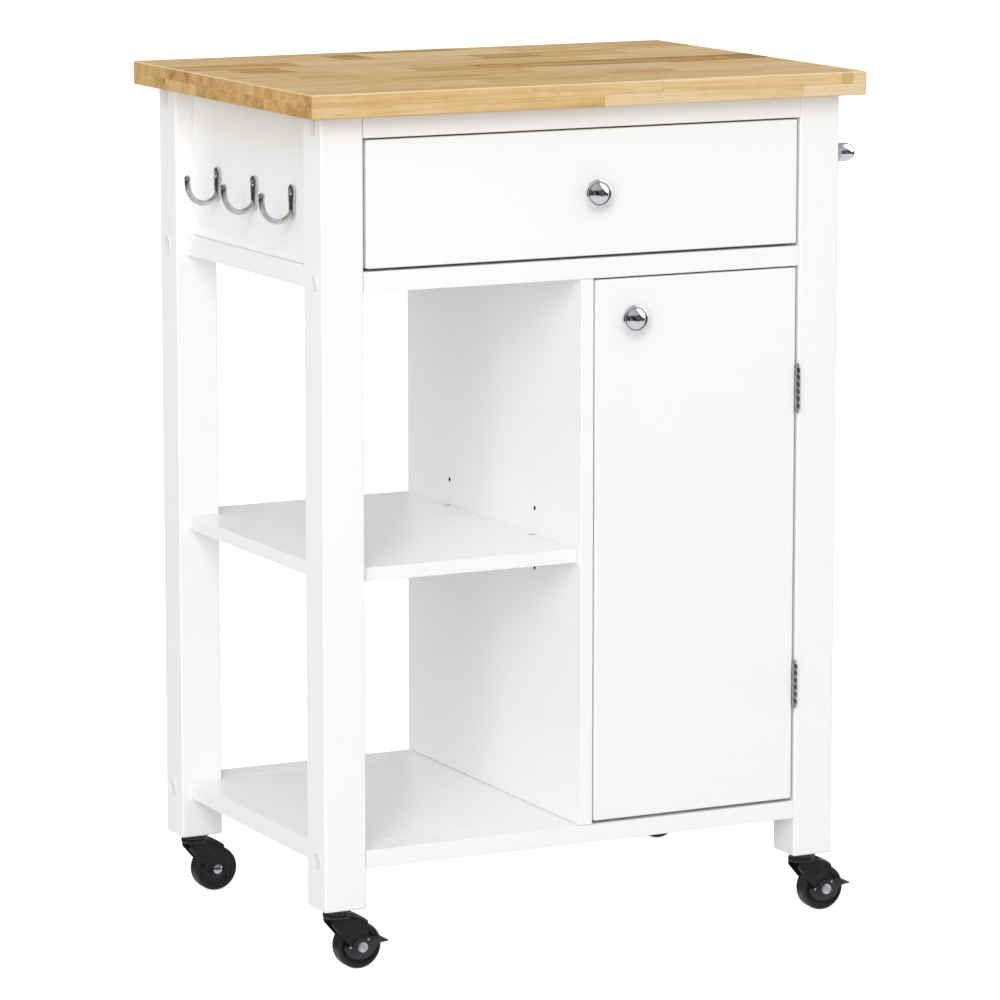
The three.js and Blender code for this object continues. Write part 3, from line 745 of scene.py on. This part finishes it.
def divider():
    """The upright board between the bays, with drilled shelf-pin holes in both faces."""
    lo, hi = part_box("divider")
    bm = bmesh.new()
    ys = [lo.y, hi.y]
    holes = [at(0, sign * PIN_Y, z) for sign in (-1, 1) for z in PIN_ROWS]
    frame_side = PIN_RADIUS * MM * 1.8
    ys += [h.y + d for h in holes for d in (-frame_side, frame_side)]
    zs = [lo.z, hi.z] + [h.z + d for h in holes for d in (-frame_side, frame_side)]
    ys = sorted({round(v, 6) for v in ys})
    zs = sorted({round(v, 6) for v in zs})
    for x, inward in ((lo.x, 1), (hi.x, -1)):
        grid = {(i, j): bm.verts.new((x, y, z)) for i, y in enumerate(ys) for j, z in enumerate(zs)}
        for i in range(len(ys) - 1):
            for j in range(len(zs) - 1):
                square = [grid[i, j], grid[i + 1, j], grid[i + 1, j + 1], grid[i, j + 1]]
                cy, cz = (ys[i] + ys[i + 1]) / 2, (zs[j] + zs[j + 1]) / 2
                if not any(abs(cy - h.y) < 1e-4 and abs(cz - h.z) < 1e-4 for h in holes):
                    bm.faces.new(square)
                    continue
                drilled(bm, square, x, inward, cy, cz)
    border = [e for e in bm.edges if len(e.link_faces) == 1]
    bmesh.ops.bridge_loops(bm, edges=border)
    bmesh.ops.recalc_face_normals(bm, faces=bm.faces)
    hard = [e for e in bm.edges if len(e.link_faces) == 2 and e.calc_face_angle() > 1.2]
    hard = [e for e in hard if on_rim(e, lo, hi)]
    bmesh.ops.bevel(bm, geom=hard, offset=ARRIS["board"], segments=3, profile=0.5, affect="EDGES")
    piece("divider_drilled", bm, WHITE, ["divider"], weighted=True)
    for side, x, sign in (("left", lo.x, 1), ("right", hi.x, -1)):
        # the liners' near-black colour is painted shade inside the holes
        liners = bmesh.new()
        for hole in holes:
            r, depth = (PIN_RADIUS - 0.04) * MM, (PIN_DEPTH - 0.1) * MM
            inner = r - 0.25 * MM
            cup = [(0, depth), (r, depth), (r, 0.12 * MM), (inner, 0.12 * MM)]
            cup += [(inner, depth - 0.4 * MM), (0, depth - 0.4 * MM)]
            lathe(cup, about("x", (x, hole.y, hole.z), sign), 20, liners)
        piece(f"pin_holes_{side}", liners, HOLE, body="frame")


def shelf_pins():
    """Steel pins that carry the open shelf: their backs just show above its upper face."""
    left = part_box("divider")[0].x
    shelf_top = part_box("open_shelf")[1].z
    bm = bmesh.new()
    profile = in_mm(fillet([(0, -4), (2.4, -4), (2.4, 6.5), (0, 6.5)], 0.8, 4))
    for sign in (-1, 1):
        spot = (left, at(0, sign * PIN_Y, 0).y, shelf_top - 1.5 * MM)
        lathe(profile, about("x", spot, -1), 28, bm)
    piece("shelf_pins", bm, HINGE, body="frame")


def drilled(bm, square, x, inward, cy, cz):
    """A square of the divider's face with a round blind hole in it."""
    sides = PIN_SIDES
    mouth, inside = [], []
    for k in range(sides):
        angle = 2 * math.pi * (k + 0.5) / sides
        y = cy + math.cos(angle) * PIN_RADIUS * MM
        z = cz + math.sin(angle) * PIN_RADIUS * MM
        mouth.append(bm.verts.new((x, y, z)))
        inside.append(bm.verts.new((x + inward * PIN_DEPTH * MM, y, z)))
    quarter = sides // 4
    ordered = sorted(square, key=lambda v: math.atan2(v.co.z - cz, v.co.y - cy) % (2 * math.pi))
    for q in range(4):
        here, after = ordered[q], ordered[(q + 1) % 4]
        start = q * quarter + quarter // 2
        arc = [mouth[(start + k) % sides] for k in range(quarter)]
        following = mouth[(start + quarter) % sides]
        bm.faces.new([here, after, following, *reversed(arc)])
    for k in range(sides):
        n = (k + 1) % sides
        bm.faces.new((mouth[k], mouth[n], inside[n], inside[k]))
    bm.faces.new(inside)


CAP_HEIGHTS = (877, 719.5, 119)
CAP_Y = 190.5


def screw_caps():
    """White dished covers over the screws in the outer faces of the legs."""
    profile = [(0, -0.3), (8.1, -0.3), (8.1, 0.6), (7.98, 0.95), (7.75, 1.1), (7.5, 1.02), (6.9, 0.62)]
    profile += [(5.8, 0.28), (3.6, 0.12), (1.8, 0.07), (0, 0.05)]
    profile = in_mm(profile)
    for side, sign, node in (("left", -1, "leg_front_left"), ("right", 1, "leg_front_right")):
        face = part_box(node)[0 if sign < 0 else 1].x
        bm = bmesh.new()
        for y in (-CAP_Y, CAP_Y):
            for z in CAP_HEIGHTS:
                centre = at(0, y, z)
                lathe(profile, about("x", (face, centre.y, centre.z), sign), 40, bm)
        piece(f"screw_caps_{side}", bm, CAP, body="frame")


# ---- knobs
KNOB_PROFILE = [(0, 0), (7.9, 0), (8.3, 0.4), (8.3, 1.1), (7.4, 2), (6.3, 3), (6, 4.6), (6.3, 6.2)]
KNOB_PROFILE += [(8.4, 7.3), (12, 7.9), (14, 8.6), (14.8, 9.5), (14.98, 10.4), (14.8, 11.8)]
KNOB_PROFILE += [(14.4, 12.9), (13.7, 13.5), (13.3, 13.7), (13.1, 14.2), (12.6, 14.5), (12, 14.4)]
KNOB_PROFILE += [(11.7, 13.9), (11.3, 14.1), (10.4, 15.1), (8.6, 16.5), (6.2, 17.8), (3.2, 18.7)]
KNOB_PROFILE += [(0, 18.95)]
BOLT_HEAD = [(0, 0.1), (4.6, 0.1), (4.6, 0.7), (4, 1.6), (2.6, 2.2), (0, 2.4)]


def knobs():
    """The turned knobs, each with the head of its bolt behind the front it sits on."""
    for name, panel in (("drawer_knob", "drawer_front"), ("door_knob", "door_panel")):
        lo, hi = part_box(name)
        centre = ((lo.x + hi.x) / 2, hi.y, (lo.z + hi.z) / 2)
        line = spline(in_mm(KNOB_PROFILE), 4)
        bm = lathe(line, about("y", centre, -1), 72)
        piece(f"{name}_turned", bm, CHROME, [name], sharp=60)
        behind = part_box(panel)[1].y
        bm = lathe(in_mm(BOLT_HEAD), about("y", (centre[0], behind, centre[2])), 32)
        piece(f"{name}_bolt", bm, ZINC, body=body_of(name))


def spline(points, steps):
    """A smooth line through a lathe's profile points."""
    line = smooth_line([(r, h, 0) for r, h in points], steps)
    return [(max(p.x, 0.0), p.y) for p in line]


# ---- hooks
def cross_screw(bm, place, radius, height=0.9 * MM):
    """A domed screw head with a shallow round recess turned in its top."""
    head = [(0, 0), (radius, 0), (radius * 0.96, height * 0.35), (radius * 0.72, height * 0.85)]
    head += [(radius * 0.42, height), (radius * 0.36, height * 0.35), (0, height * 0.2)]
    return lathe(head, place, 28, bm)


HOOK_PLATE_LENGTH = 36.5 * MM
HOOK_PLATE_WIDE = 6.5 * MM
HOOK_PLATE_NARROW = 4.4 * MM
HOOK_PLATE_THICKNESS = 3.6 * MM
HOOK_SCREW_DROP = 8 * MM
HOOK_LINE = [(-2.2, 10), (-4.6, 4), (-11, 0), (-19.5, -1.4), (-28.4, 2.6)]
HOOK_LINE += [(-33.8, 10), (-35.8, 19), (-35.8, 25)]
HOOK_TIP = [(0, -1.4), (3, -1.3), (4.2, -0.5), (4.6, 0.7), (4.3, 2), (3.1, 3.2), (1.5, 3.8), (0, 3.9)]


def hook_outline(half):
    """The wall plate seen face on: a wide round head and a narrow round foot."""
    wide, narrow = HOOK_PLATE_WIDE, HOOK_PLATE_NARROW
    outline = []
    for k in range(17):
        angle = math.pi * k / 16
        outline.append((wide * math.cos(angle), half - wide + wide * math.sin(angle)))
    for k in range(13):
        angle = math.pi + math.pi * k / 12
        outline.append((narrow * math.cos(angle), -half + narrow + narrow * math.sin(angle)))
    return outline


def hook_section(share):
    """Half sizes of the prong: it grows out of the plate and swells a little towards its tip."""
    swell = 1 + 0.22 * max(0.0, share - 0.72) / 0.28
    start = min(1.0, 0.55 + share * 4)
    return 4.1 * MM * swell * start, 3.1 * MM * (1 - 0.12 * share) * start


def hook(name):
    lo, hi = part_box(name)
    y = (lo.y + hi.y) / 2
    wall, top = hi.x, hi.z
    bottom = top - HOOK_PLATE_LENGTH
    centre = (top + bottom) / 2

    def on_wall(a, b, h):
        return (wall - h, y + a, centre + b)

    bm = plate(hook_outline((top - bottom) / 2), 0, HOOK_PLATE_THICKNESS, on_wall, 1.1 * MM, 3)
    line = smooth_line([(wall + a * MM, y, bottom + b * MM) for a, b in HOOK_LINE], 7)
    sweep(line, hook_section, (0, 1, 0), 24, bm)
    tip = line[-1]
    lathe(spline(in_mm(HOOK_TIP), 3), lambda a, b, h: (tip.x + a * 0.68, tip.y + b, tip.z + h), 28, bm)
    piece(f"{name}_cast", bm, NICKEL, [name], sharp=50)
    screw_at = (wall - 3.55 * MM, y, top - HOOK_SCREW_DROP)
    screw = cross_screw(bmesh.new(), about("x", screw_at, -1), 3.2 * MM)
    piece(f"{name}_screw", screw, CHROME, body="frame")


# ---- towel bar
def towel_bar():
    lo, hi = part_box("towel_bar")
    centre = (lo + hi) / 2
    radius = (hi.z - lo.z) / 2
    half = (hi.y - lo.y) / 2
    ease = 0.8 * MM
    profile = fillet([(0, -half), (radius, -half), (radius, half), (0, half)], ease, 4)
    bm = lathe(profile, about("y", centre), 48)
    piece("towel_bar_tube", bm, CHROME, ["towel_bar"])


def towel_bracket(name):
    """A turned foot and shank, and a barrel with a domed end that holds the bar."""
    lo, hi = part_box(name)
    y, z = (lo.y + hi.y) / 2, (lo.z + hi.z) / 2
    head = (hi.x - 10 * MM, y, z)
    reach = (head[0] - lo.x) / MM
    foot = [(0, 0), (13.8, 0), (14, 0.6), (14, 2), (13.2, 3.2), (11, 3.9), (8, 4.6), (6.2, 6.4)]
    foot += [(5.6, 9), (5.5, 14), (5.5, reach - 16), (5.6, reach - 12), (6.2, reach - 9.5)]
    foot += [(7, reach - 7), (7, reach - 4), (0, reach - 4)]
    bm = lathe(in_mm(foot), about("x", (lo.x, y, z)), 48)
    barrel = [(0, -12), (7, -12), (8.6, -11.6), (9.7, -10.5), (10, -9), (10, -2), (9.6, 1.2)]
    barrel += [(8.5, 4), (6.6, 6.7), (4.2, 8.7), (2, 9.7), (0, 9.9)]
    lathe(in_mm(barrel), about("x", head), 48, bm)
    piece(f"{name}_cast", bm, CHROME, [name], sharp=50)


# ---- hinges
BARREL = 2.8 * MM
LEAF = 1.1 * MM
KNUCKLES = 6
KNUCKLE_GAP = 0.35 * MM
HINGE_HEIGHT = 46 * MM
HINGE_TIP = [(0, -0.3), (1.9, -0.3), (2, 0.3), (1.5, 0.9), (1.75, 1.8), (1.4, 3), (0.7, 3.6), (0, 3.75)]


def hinges():
    """Butt hinges: a leaf on the leg, a leaf on the door, and knuckles in turn on one pin."""
    for name in ("lower", "upper"):
        lo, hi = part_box(f"hinge_{name}_leg_leaf")
        x = (lo.x + hi.x) / 2
        y = lo.y + BARREL
        z = (lo.z + hi.z) / 2
        height = HINGE_HEIGHT
        pitch = height / KNUCKLES
        for leaf, sign, parity in (("leg", 1, 1), ("door", -1, 0)):
            bm = bmesh.new()
            near = 0.45 * MM
            leaf_x = sorted((x + sign * near, x + sign * (near + LEAF)))
            leaf_lo = (leaf_x[0], y + 1.7 * MM, z - height / 2)
            leaf_hi = (leaf_x[1], y + 21.3 * MM, z + height / 2)
            block(leaf_lo, leaf_hi, 0.25 * MM, 2, bm)
            for k in range(KNUCKLES):
                if k % 2 != parity:
                    continue
                low = z - height / 2 + k * pitch + KNUCKLE_GAP
                high = low + pitch - 2 * KNUCKLE_GAP
                ring = [(0, low), (BARREL, low), (BARREL, high), (0, high)]
                lathe(fillet(ring, 0.8 * MM, 4), lambda a, b, h: (x + a, y + b, h), 28, bm)
                tongue = (min(x, leaf_x[0]), y, low), (max(x, leaf_x[1]), y + 2.4 * MM, high)
                block(*tongue, 0.15 * MM, 1, bm)
            if leaf == "leg":
                core = [(0, z - height / 2), (1.9 * MM, z - height / 2), (1.9 * MM, z + height / 2)]
                lathe([*core, (0, z + height / 2)], lambda a, b, h: (x + a, y + b, h), 20, bm)
                for end in (-1, 1):
                    lathe(in_mm(HINGE_TIP), about("z", (x, y, z + end * height / 2), end), 20, bm)
            node = f"hinge_{name}_{leaf}_leaf"
            piece(f"{node}_pressed", bm, HINGE, [node])
            screws = bmesh.new()
            for dz in (-15, 0, 15):
                head_at = (x + sign * near, y + (9.5 if dz else 15.5) * MM, z + dz * MM)
                cross_screw(screws, about("x", head_at, -sign), 2.7 * MM, 0.3 * MM)
            piece(f"{node}_screws", screws, HINGE, body=body_of(node))


# ---- casters
TRAIL = 22
BALLS = 30
BALL_CIRCLE = 13 * MM
FORK_SHEET = 1.6
FORK_HALF = 11.8
FORK_BEND = 3.2
CROWN_BACK = -10.4
ROOF_END = 30.4
ROOF_TURN = 12
FOOT_RADIUS = 8.6
FOOT_START = 205
FOOT_SWEEP = 130
STRAIGHT_EDGE = 0.17
PEDAL_INNER = 12.3
PEDAL_SHEET = 1.3


def caster_frame(corner):
    """The stem's x and y, and the axle's height."""
    stem = middle(f"caster_{corner}_stem")
    axle = middle(f"caster_{corner}_wheel")
    return stem.x, stem.y, axle.z


def caster_mounts(corner):
    """The plate seat under the leg, the post inside it, and the balls of the upper race."""
    cx, cy, _ = caster_frame(corner)
    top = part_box(f"leg_{corner}")[0].z / MM
    upright = about("z", (cx, cy, 0))
    seat = [(4, top - 0.4), (14.6, top - 0.4), (15, top - 0.8), (15, top - 3.4), (14.6, top - 4)]
    seat += [(13.6, top - 4.4), (11.4, top - 4.5), (11.2, top - 6), (4, top - 6)]
    bm = lathe(in_mm([*seat, seat[0]]), upright, 56)
    name = f"caster_{corner}_stem"
    piece(f"caster_{corner}_raceway", bm, BLACK_STEEL, [name])
    post = [(0, top - 5.8), (4, top - 5.8), (4, top + 28), (3.2, top + 29.4), (0, top + 29.4)]
    bm = lathe(in_mm(post), upright, 28)
    piece(f"caster_{corner}_post", bm, ZINC, body="frame")
    balls = bmesh.new()
    for k in range(BALLS):
        angle = 2 * math.pi * (k + 0.3) / BALLS
        along, aside = BALL_CIRCLE * math.cos(angle), BALL_CIRCLE * math.sin(angle)
        centre = Vector((cx + along, cy + aside, (top - 5.35) * MM))
        made = bmesh.ops.create_icosphere(balls, subdivisions=2, radius=0.85 * MM)
        bmesh.ops.translate(balls, verts=made["verts"], vec=centre)
    piece(f"caster_{corner}_balls", balls, HINGE, body="frame")


def fork_side(u, top, axle_z):
    """One cheek from its foot up, and the bend into the roof, at a share u from back to front."""
    head_x = CROWN_BACK + u * (ROOF_END - CROWN_BACK)
    drop = max(0.0, head_x - ROOF_TURN) / (ROOF_END - ROOF_TURN)
    head_z = top - FORK_SHEET - 7.4 * drop**2.1
    foot_angle = math.radians(FOOT_START + u * FOOT_SWEEP)
    foot_x = TRAIL + FOOT_RADIUS * math.cos(foot_angle)
    foot_z = axle_z + FOOT_RADIUS * math.sin(foot_angle)
    rows = 16
    cheek = []
    for j in range(rows, -1, -1):
        v = j / rows
        x = head_x + (foot_x - head_x) * max(0.0, v - STRAIGHT_EDGE) / (1 - STRAIGHT_EDGE)
        z = head_z - FORK_BEND + (foot_z - head_z + FORK_BEND) * v
        cheek.append((x, FORK_HALF, z))
    for j in range(1, 7):
        angle = math.pi / 2 * (j / 6)
        y = FORK_HALF - FORK_BEND + FORK_BEND * math.cos(angle)
        cheek.append((head_x, y, head_z - FORK_BEND + FORK_BEND * math.sin(angle)))
    return cheek


def fork_shell(corner):
    """The pressed sheet: a roof that curves down behind the wheel, and two cheeks."""
    cx, cy, az = caster_frame(corner)
    node = f"caster_{corner}_fork"
    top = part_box(node)[1].z / MM
    columns = 22
    bm = bmesh.new()
    grid = []
    for i in range(columns + 1):
        side = fork_side(i / columns, top, az / MM)
        ring = side + [(px, -py, pz) for px, py, pz in reversed(side)]
        grid.append([bm.verts.new((cx + px * MM, cy + py * MM, pz * MM)) for px, py, pz in ring])
    for low, high in zip(grid, grid[1:]):
        for k in range(len(low) - 1):
            bm.faces.new((low[k], low[k + 1], high[k + 1], high[k]))
    made = piece(f"caster_{corner}_shell", bm, BLACK_STEEL, [node])
    thicken = made.modifiers.new("sheet", "SOLIDIFY")
    thicken.thickness = FORK_SHEET * MM
    thicken.offset = -1
    thicken.use_rim = True
    ease = made.modifiers.new("eased", "BEVEL")
    ease.width = 0.35 * MM
    ease.segments = 2
    ease.limit_method = "ANGLE"
    ease.angle_limit = math.radians(50)


def fork_crown(corner):
    """The round dish on top of the fork, which carries the balls."""
    cx, cy, _ = caster_frame(corner)
    node = f"caster_{corner}_fork"
    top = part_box(node)[1].z / MM
    dish = [(3, top - 4.9), (13.8, top - 4.9), (14.7, top - 4.4), (15, top - 3.6), (15, top - 1.2)]
    dish += [(14.7, top - 0.5), (13.9, top - 0.2), (12.2, top - 0.5), (11.4, top - 0.9), (3, top - 0.9)]
    bm = lathe(in_mm([*dish, dish[0]]), about("z", (cx, cy, 0)), 56)
    piece(f"caster_{corner}_crown", bm, BLACK_STEEL, body=body_of(node))


def fork_axle(corner):
    """The axle: a bright nut each side of a braked caster, a flat head each side of the others."""
    cx, cy, az = caster_frame(corner)
    node = f"caster_{corner}_fork"
    lo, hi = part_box(node)
    end = (hi.y - lo.y) / 2 / MM
    centre = (cx + TRAIL * MM, cy, az)
    if corner in BRAKED:
        cap = [(0, end - 3.6), (5.4, end - 3.6), (5.4, end - 1.1), (5, end - 0.5), (3.9, end - 0.15)]
        cap += [(3.3, end - 0.25), (2.9, end - 0.75), (1.6, end - 0.55), (0, end - 0.4)]
        finish = NUT
    else:
        cap = [(0, end - 2), (5.2, end - 2), (5.2, end - 1.5), (4.4, end - 0.7)]
        cap += [(2.8, end - 0.15), (0, end)]
        finish = HINGE
    shaft = [(0, -end + 1), (2.9, -end + 1), (2.9, end - 1), (0, end - 1)]
    bm = lathe(in_mm(shaft), about("y", centre), 24)
    for sign in (-1, 1):
        lathe(in_mm(cap), about("y", centre, sign), 36, bm)
    piece(f"caster_{corner}_axle", bm, finish, body=body_of(node))


def caster_wheel(corner):
    """A turned wheel: hub, dished web, and a tyre with two grooves in each side."""
    node = f"caster_{corner}_wheel"
    centre = middle(node)
    half = 9.0
    side = [(3.4, half), (7.6, half), (8.4, half - 0.5), (9.2, half - 2.4), (10, half - 2.7)]
    side += [(17.4, half - 2.7), (18.3, half - 2.2), (18.8, half - 0.9), (19.4, half - 0.5)]
    side += [(20.6, half - 0.4), (20.9, half - 0.9), (21.3, half - 0.9), (21.6, half - 0.4)]
    side += [(22.8, half - 0.5), (24, half - 1.1), (24.55, half - 2.2), (24.74, half - 4.4)]
    other = [(r, -h) for r, h in side]
    profile = [*other, *reversed(side), other[0]]
    bm = lathe(in_mm(profile), about("y", centre), 96)
    piece(f"caster_{corner}_tyre", bm, BLACK_PLASTIC, [node], sharp=45)


PEDAL_OUTLINE = [(-19, 1.5), (-18.4, -3.5), (-12.6, -10.4), (-3.2, -13.4), (7, -12.4), (14.2, -7)]
PEDAL_OUTLINE += [(18.6, 0.6), (26, 2.5), (30.2, 2.8), (30.2, 4.4), (26, 4.5), (18.5, 8), (10, 10.4)]
PEDAL_OUTLINE += [(3, 9.6), (-4.5, 8.6), (-8.8, 4.6), (-12, 2)]
RIVET_HEAD = [(0, -0.2), (1.3, -0.2), (1.2, 0.4), (0.7, 0.75), (0, 0.85)]


def pedal_outline():
    """The pedal's side plate, as a closed smooth curve through its outline points."""
    loop = [Vector((*point, 0)) for point in PEDAL_OUTLINE]
    loop = [loop[-1], *loop, *loop[:2]]
    curve = [curve_point(*loop[i - 1 : i + 3], k / 3) for i in range(1, len(loop) - 2) for k in range(3)]
    return [(p.x * MM, p.y * MM) for p in curve]


def caster_brake(corner):
    """The pedal: two side plates round the wheel, joined by a tread, with four rivets."""
    node = f"caster_{corner}_brake"
    cx, cy, az = caster_frame(corner)
    axle = (cx + TRAIL * MM, cy, az)
    outer = PEDAL_INNER + PEDAL_SHEET
    bm = bmesh.new()
    for sign in (-1, 1):
        low, high = sorted((sign * PEDAL_INNER * MM, sign * outer * MM))
        plate(pedal_outline(), low, high, about("y", axle), 0.3 * MM, 2, bm)
    lo = (axle[0] + 26.3 * MM, axle[1] - 13.4 * MM, axle[2] + 2.7 * MM)
    hi = (axle[0] + 30.6 * MM, axle[1] + 13.4 * MM, axle[2] + 4.3 * MM)
    block(lo, hi, 0.6 * MM, 3, bm)
    piece(f"caster_{corner}_pedal", bm, PEDAL, [node])
    rivets = bmesh.new()
    for px, pz in ((7.4, 7), (-13.2, 0.4)):
        for sign in (-1, 1):
            spot = (axle[0] + px * MM, axle[1] + sign * outer * MM, axle[2] + pz * MM)
            lathe(in_mm(RIVET_HEAD), about("y", spot, sign), 16, rivets)
    piece(f"caster_{corner}_rivets", rivets, ZINC, body=body_of(node))


# ---- catch and runners, behind the fronts
def catch():
    """The magnetic catch on the frame and its screwed strike on the door."""
    lo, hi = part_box("magnetic_catch")
    bm = block(lo, hi, 1.2 * MM, 3)
    piece("magnetic_catch_case", bm, BLACK_PLASTIC, ["magnetic_catch"], weighted=True)
    lo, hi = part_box("catch_strike")
    bm = block(lo, hi, 0.4 * MM, 2)
    for dx in (-8, 8):
        centre = ((lo.x + hi.x) / 2 + dx * MM, hi.y, (lo.z + hi.z) / 2)
        cross_screw(bm, about("y", centre), 2 * MM, 0.25 * MM)
    piece("catch_strike_plate", bm, ZINC, ["catch_strike"])


def dress_cad():
    """CAD nodes that stay in view keep their shape and get the finished material."""
    for side in ("left", "right"):
        for half in ("cabinet", "drawer"):
            node = NODES[f"runner_{side}_{half}"]
            node.data.materials.clear()
            node.data.materials.append(ZINC)


# ---- floor, light, camera
FLOOR_GLOW = 0.78
HORIZON_LIGHT = 0.57
ZENITH_LIGHT = 0.79
BACKDROP = 1.05
SOFT_LIGHTS = [
    ("key", (2.2, -2.2, 2.9), 1.1, 5),
    ("high_fill", (-4.57, -7.04, 5.94), 4.4, 250),
    ("low_fill", (-6.92, -6.92, 2.6), 4.0, 204),
]
MIRRORED_LAMPS = [
    ((0.9, -0.1, 0.52), 0.85, (2.2, 2.2, 2.25)),
    ((-0.35, -0.6, 0.68), 0.93, (0.5, 0.5, 0.54)),
]


def floor():
    """A pale floor. Its glow is seen by the camera only and lights nothing."""
    rings = [0.0, 0.6, 1.5, 4, 12, 40]
    bm = lathe([(r, 0) for r in rings], lambda a, b, h: (a, b, -0.0002), 64)
    g = Surface("floor", roughness=0.85)
    shade = g.span(g.noise(1.3, detail=2), 0.3, 0.7)
    g.shader.inputs["Emission Color"].default_value = (1, 1, 1, 1)
    seen = g.node("ShaderNodeLightPath").outputs["Is Camera Ray"]
    g.feed(g.shader.inputs["Emission Strength"], g.times(seen, FLOOR_GLOW))
    material = g.finish(g.mix(shade, (0.71, 0.71, 0.71), (0.72, 0.72, 0.72)), 0.85)
    made = stand("floor", mesh_of("floor", bm, material))
    made.visible_glossy = False


def fill_light(g):
    """Soft fill: strongest overhead, and a little brighter ahead and to the left."""
    x, y, z = g.split(g.place)
    height = g.span(z, 0.2, 0.7, HORIZON_LIGHT, ZENITH_LIGHT, smooth=True)
    strength = g.total(height, g.times(x, -0.14), g.times(y, -0.03))
    made = g.node("ShaderNodeBackground")
    made.inputs["Color"].default_value = (1, 0.997, 0.99, 1)
    g.feed(made.inputs["Strength"], strength)
    return made.outputs[0]


def mirrored_room(g):
    """What polished metal mirrors: pale table, dark room, a bright and a dim soft box."""
    z = g.split(g.place)[2]
    room = g.span(g.noise(2.4, detail=3), 0.44, 0.66, 0.012, 0.22)
    table = g.span(z, -0.36, -0.26, 1, 0, smooth=True)
    above = g.span(z, 0.3, 0.42, 0, 1, smooth=True)
    shade = g.mix(above, room, (0.42, 0.42, 0.45))
    shade = g.mix(table, shade, (0.74, 0.74, 0.78))
    for centre, cosine, colour in MIRRORED_LAMPS:
        towards = g.node("ShaderNodeVectorMath", operation="DOT_PRODUCT")
        g.feed(towards.inputs[0], g.place)
        towards.inputs[1].default_value = Vector(centre).normalized()
        patch = g.span(towards.outputs["Value"], cosine - 0.03, cosine, smooth=True)
        shade = g.mix(patch, shade, colour)
    made = g.node("ShaderNodeBackground")
    g.feed(made.inputs["Color"], shade)
    return made.outputs[0]


def surroundings():
    """The world: fill for matt surfaces, a room for mirrors, white behind the cart."""
    world = bpy.data.worlds.new("studio")
    bpy.context.scene.world = world
    world.use_nodes = True
    world.node_tree.nodes.clear()
    g = Graph(world.node_tree, "Generated")
    path = g.node("ShaderNodeLightPath").outputs
    backdrop = g.node("ShaderNodeBackground")
    backdrop.inputs["Color"].default_value = (1, 1, 1, 1)
    backdrop.inputs["Strength"].default_value = BACKDROP
    seen = fill_light(g)
    for ray, other in (("Is Glossy Ray", mirrored_room(g)), ("Is Camera Ray", backdrop.outputs[0])):
        blend = g.node("ShaderNodeMixShader")
        for socket, value in zip(blend.inputs, (path[ray], seen, other)):
            g.feed(socket, value)
        seen = blend.outputs[0]
    g.feed(g.node("ShaderNodeOutputWorld").inputs[0], seen)


def soft_lights():
    for name, spot, size, power in SOFT_LIGHTS:
        data = bpy.data.lights.new(name, "AREA")
        data.shape = "DISK"
        data.size = size
        data.energy = power
        light = stand(name, data)
        light.location = spot
        aim = Vector((0, 0, 0.5)) - Vector(spot)
        light.rotation_euler = aim.to_track_quat("-Z", "Y").to_euler()
        light.visible_camera = False
        light.visible_glossy = False


CAMERA_SPOT = (-2419.2, -4847.9, 1370.3)
CAMERA_TILT = 9.692945
CAMERA_TURN = 26.566406
CAMERA_LENS = 183.121
CAMERA_SENSOR = 36.0


def camera():
    data = bpy.data.cameras.new("camera")
    data.lens = CAMERA_LENS
    data.sensor_width = CAMERA_SENSOR
    data.clip_start, data.clip_end = 0.1, 200
    made = stand("camera", data)
    made.location = at(*CAMERA_SPOT)
    made.rotation_euler = (math.radians(90 - CAMERA_TILT), 0, math.radians(-CAMERA_TURN))
    bpy.context.scene.camera = made
    bpy.context.scene.view_settings.view_transform = "Standard"


worktop()
boards()
cross_boards()
divider()
shelf_pins()
screw_caps()
knobs()
for side_name in ("back", "middle", "front"):
    hook(f"hook_{side_name}")
towel_bar()
for side_name in ("front", "back"):
    towel_bracket(f"towel_bracket_{side_name}")
hinges()
for corner_name in CORNERS:
    caster_mounts(corner_name)
    fork_shell(corner_name)
    fork_crown(corner_name)
    fork_axle(corner_name)
    caster_wheel(corner_name)
    if corner_name in BRAKED:
        caster_brake(corner_name)
catch()
dress_cad()
floor()
surroundings()
soft_lights()
camera()
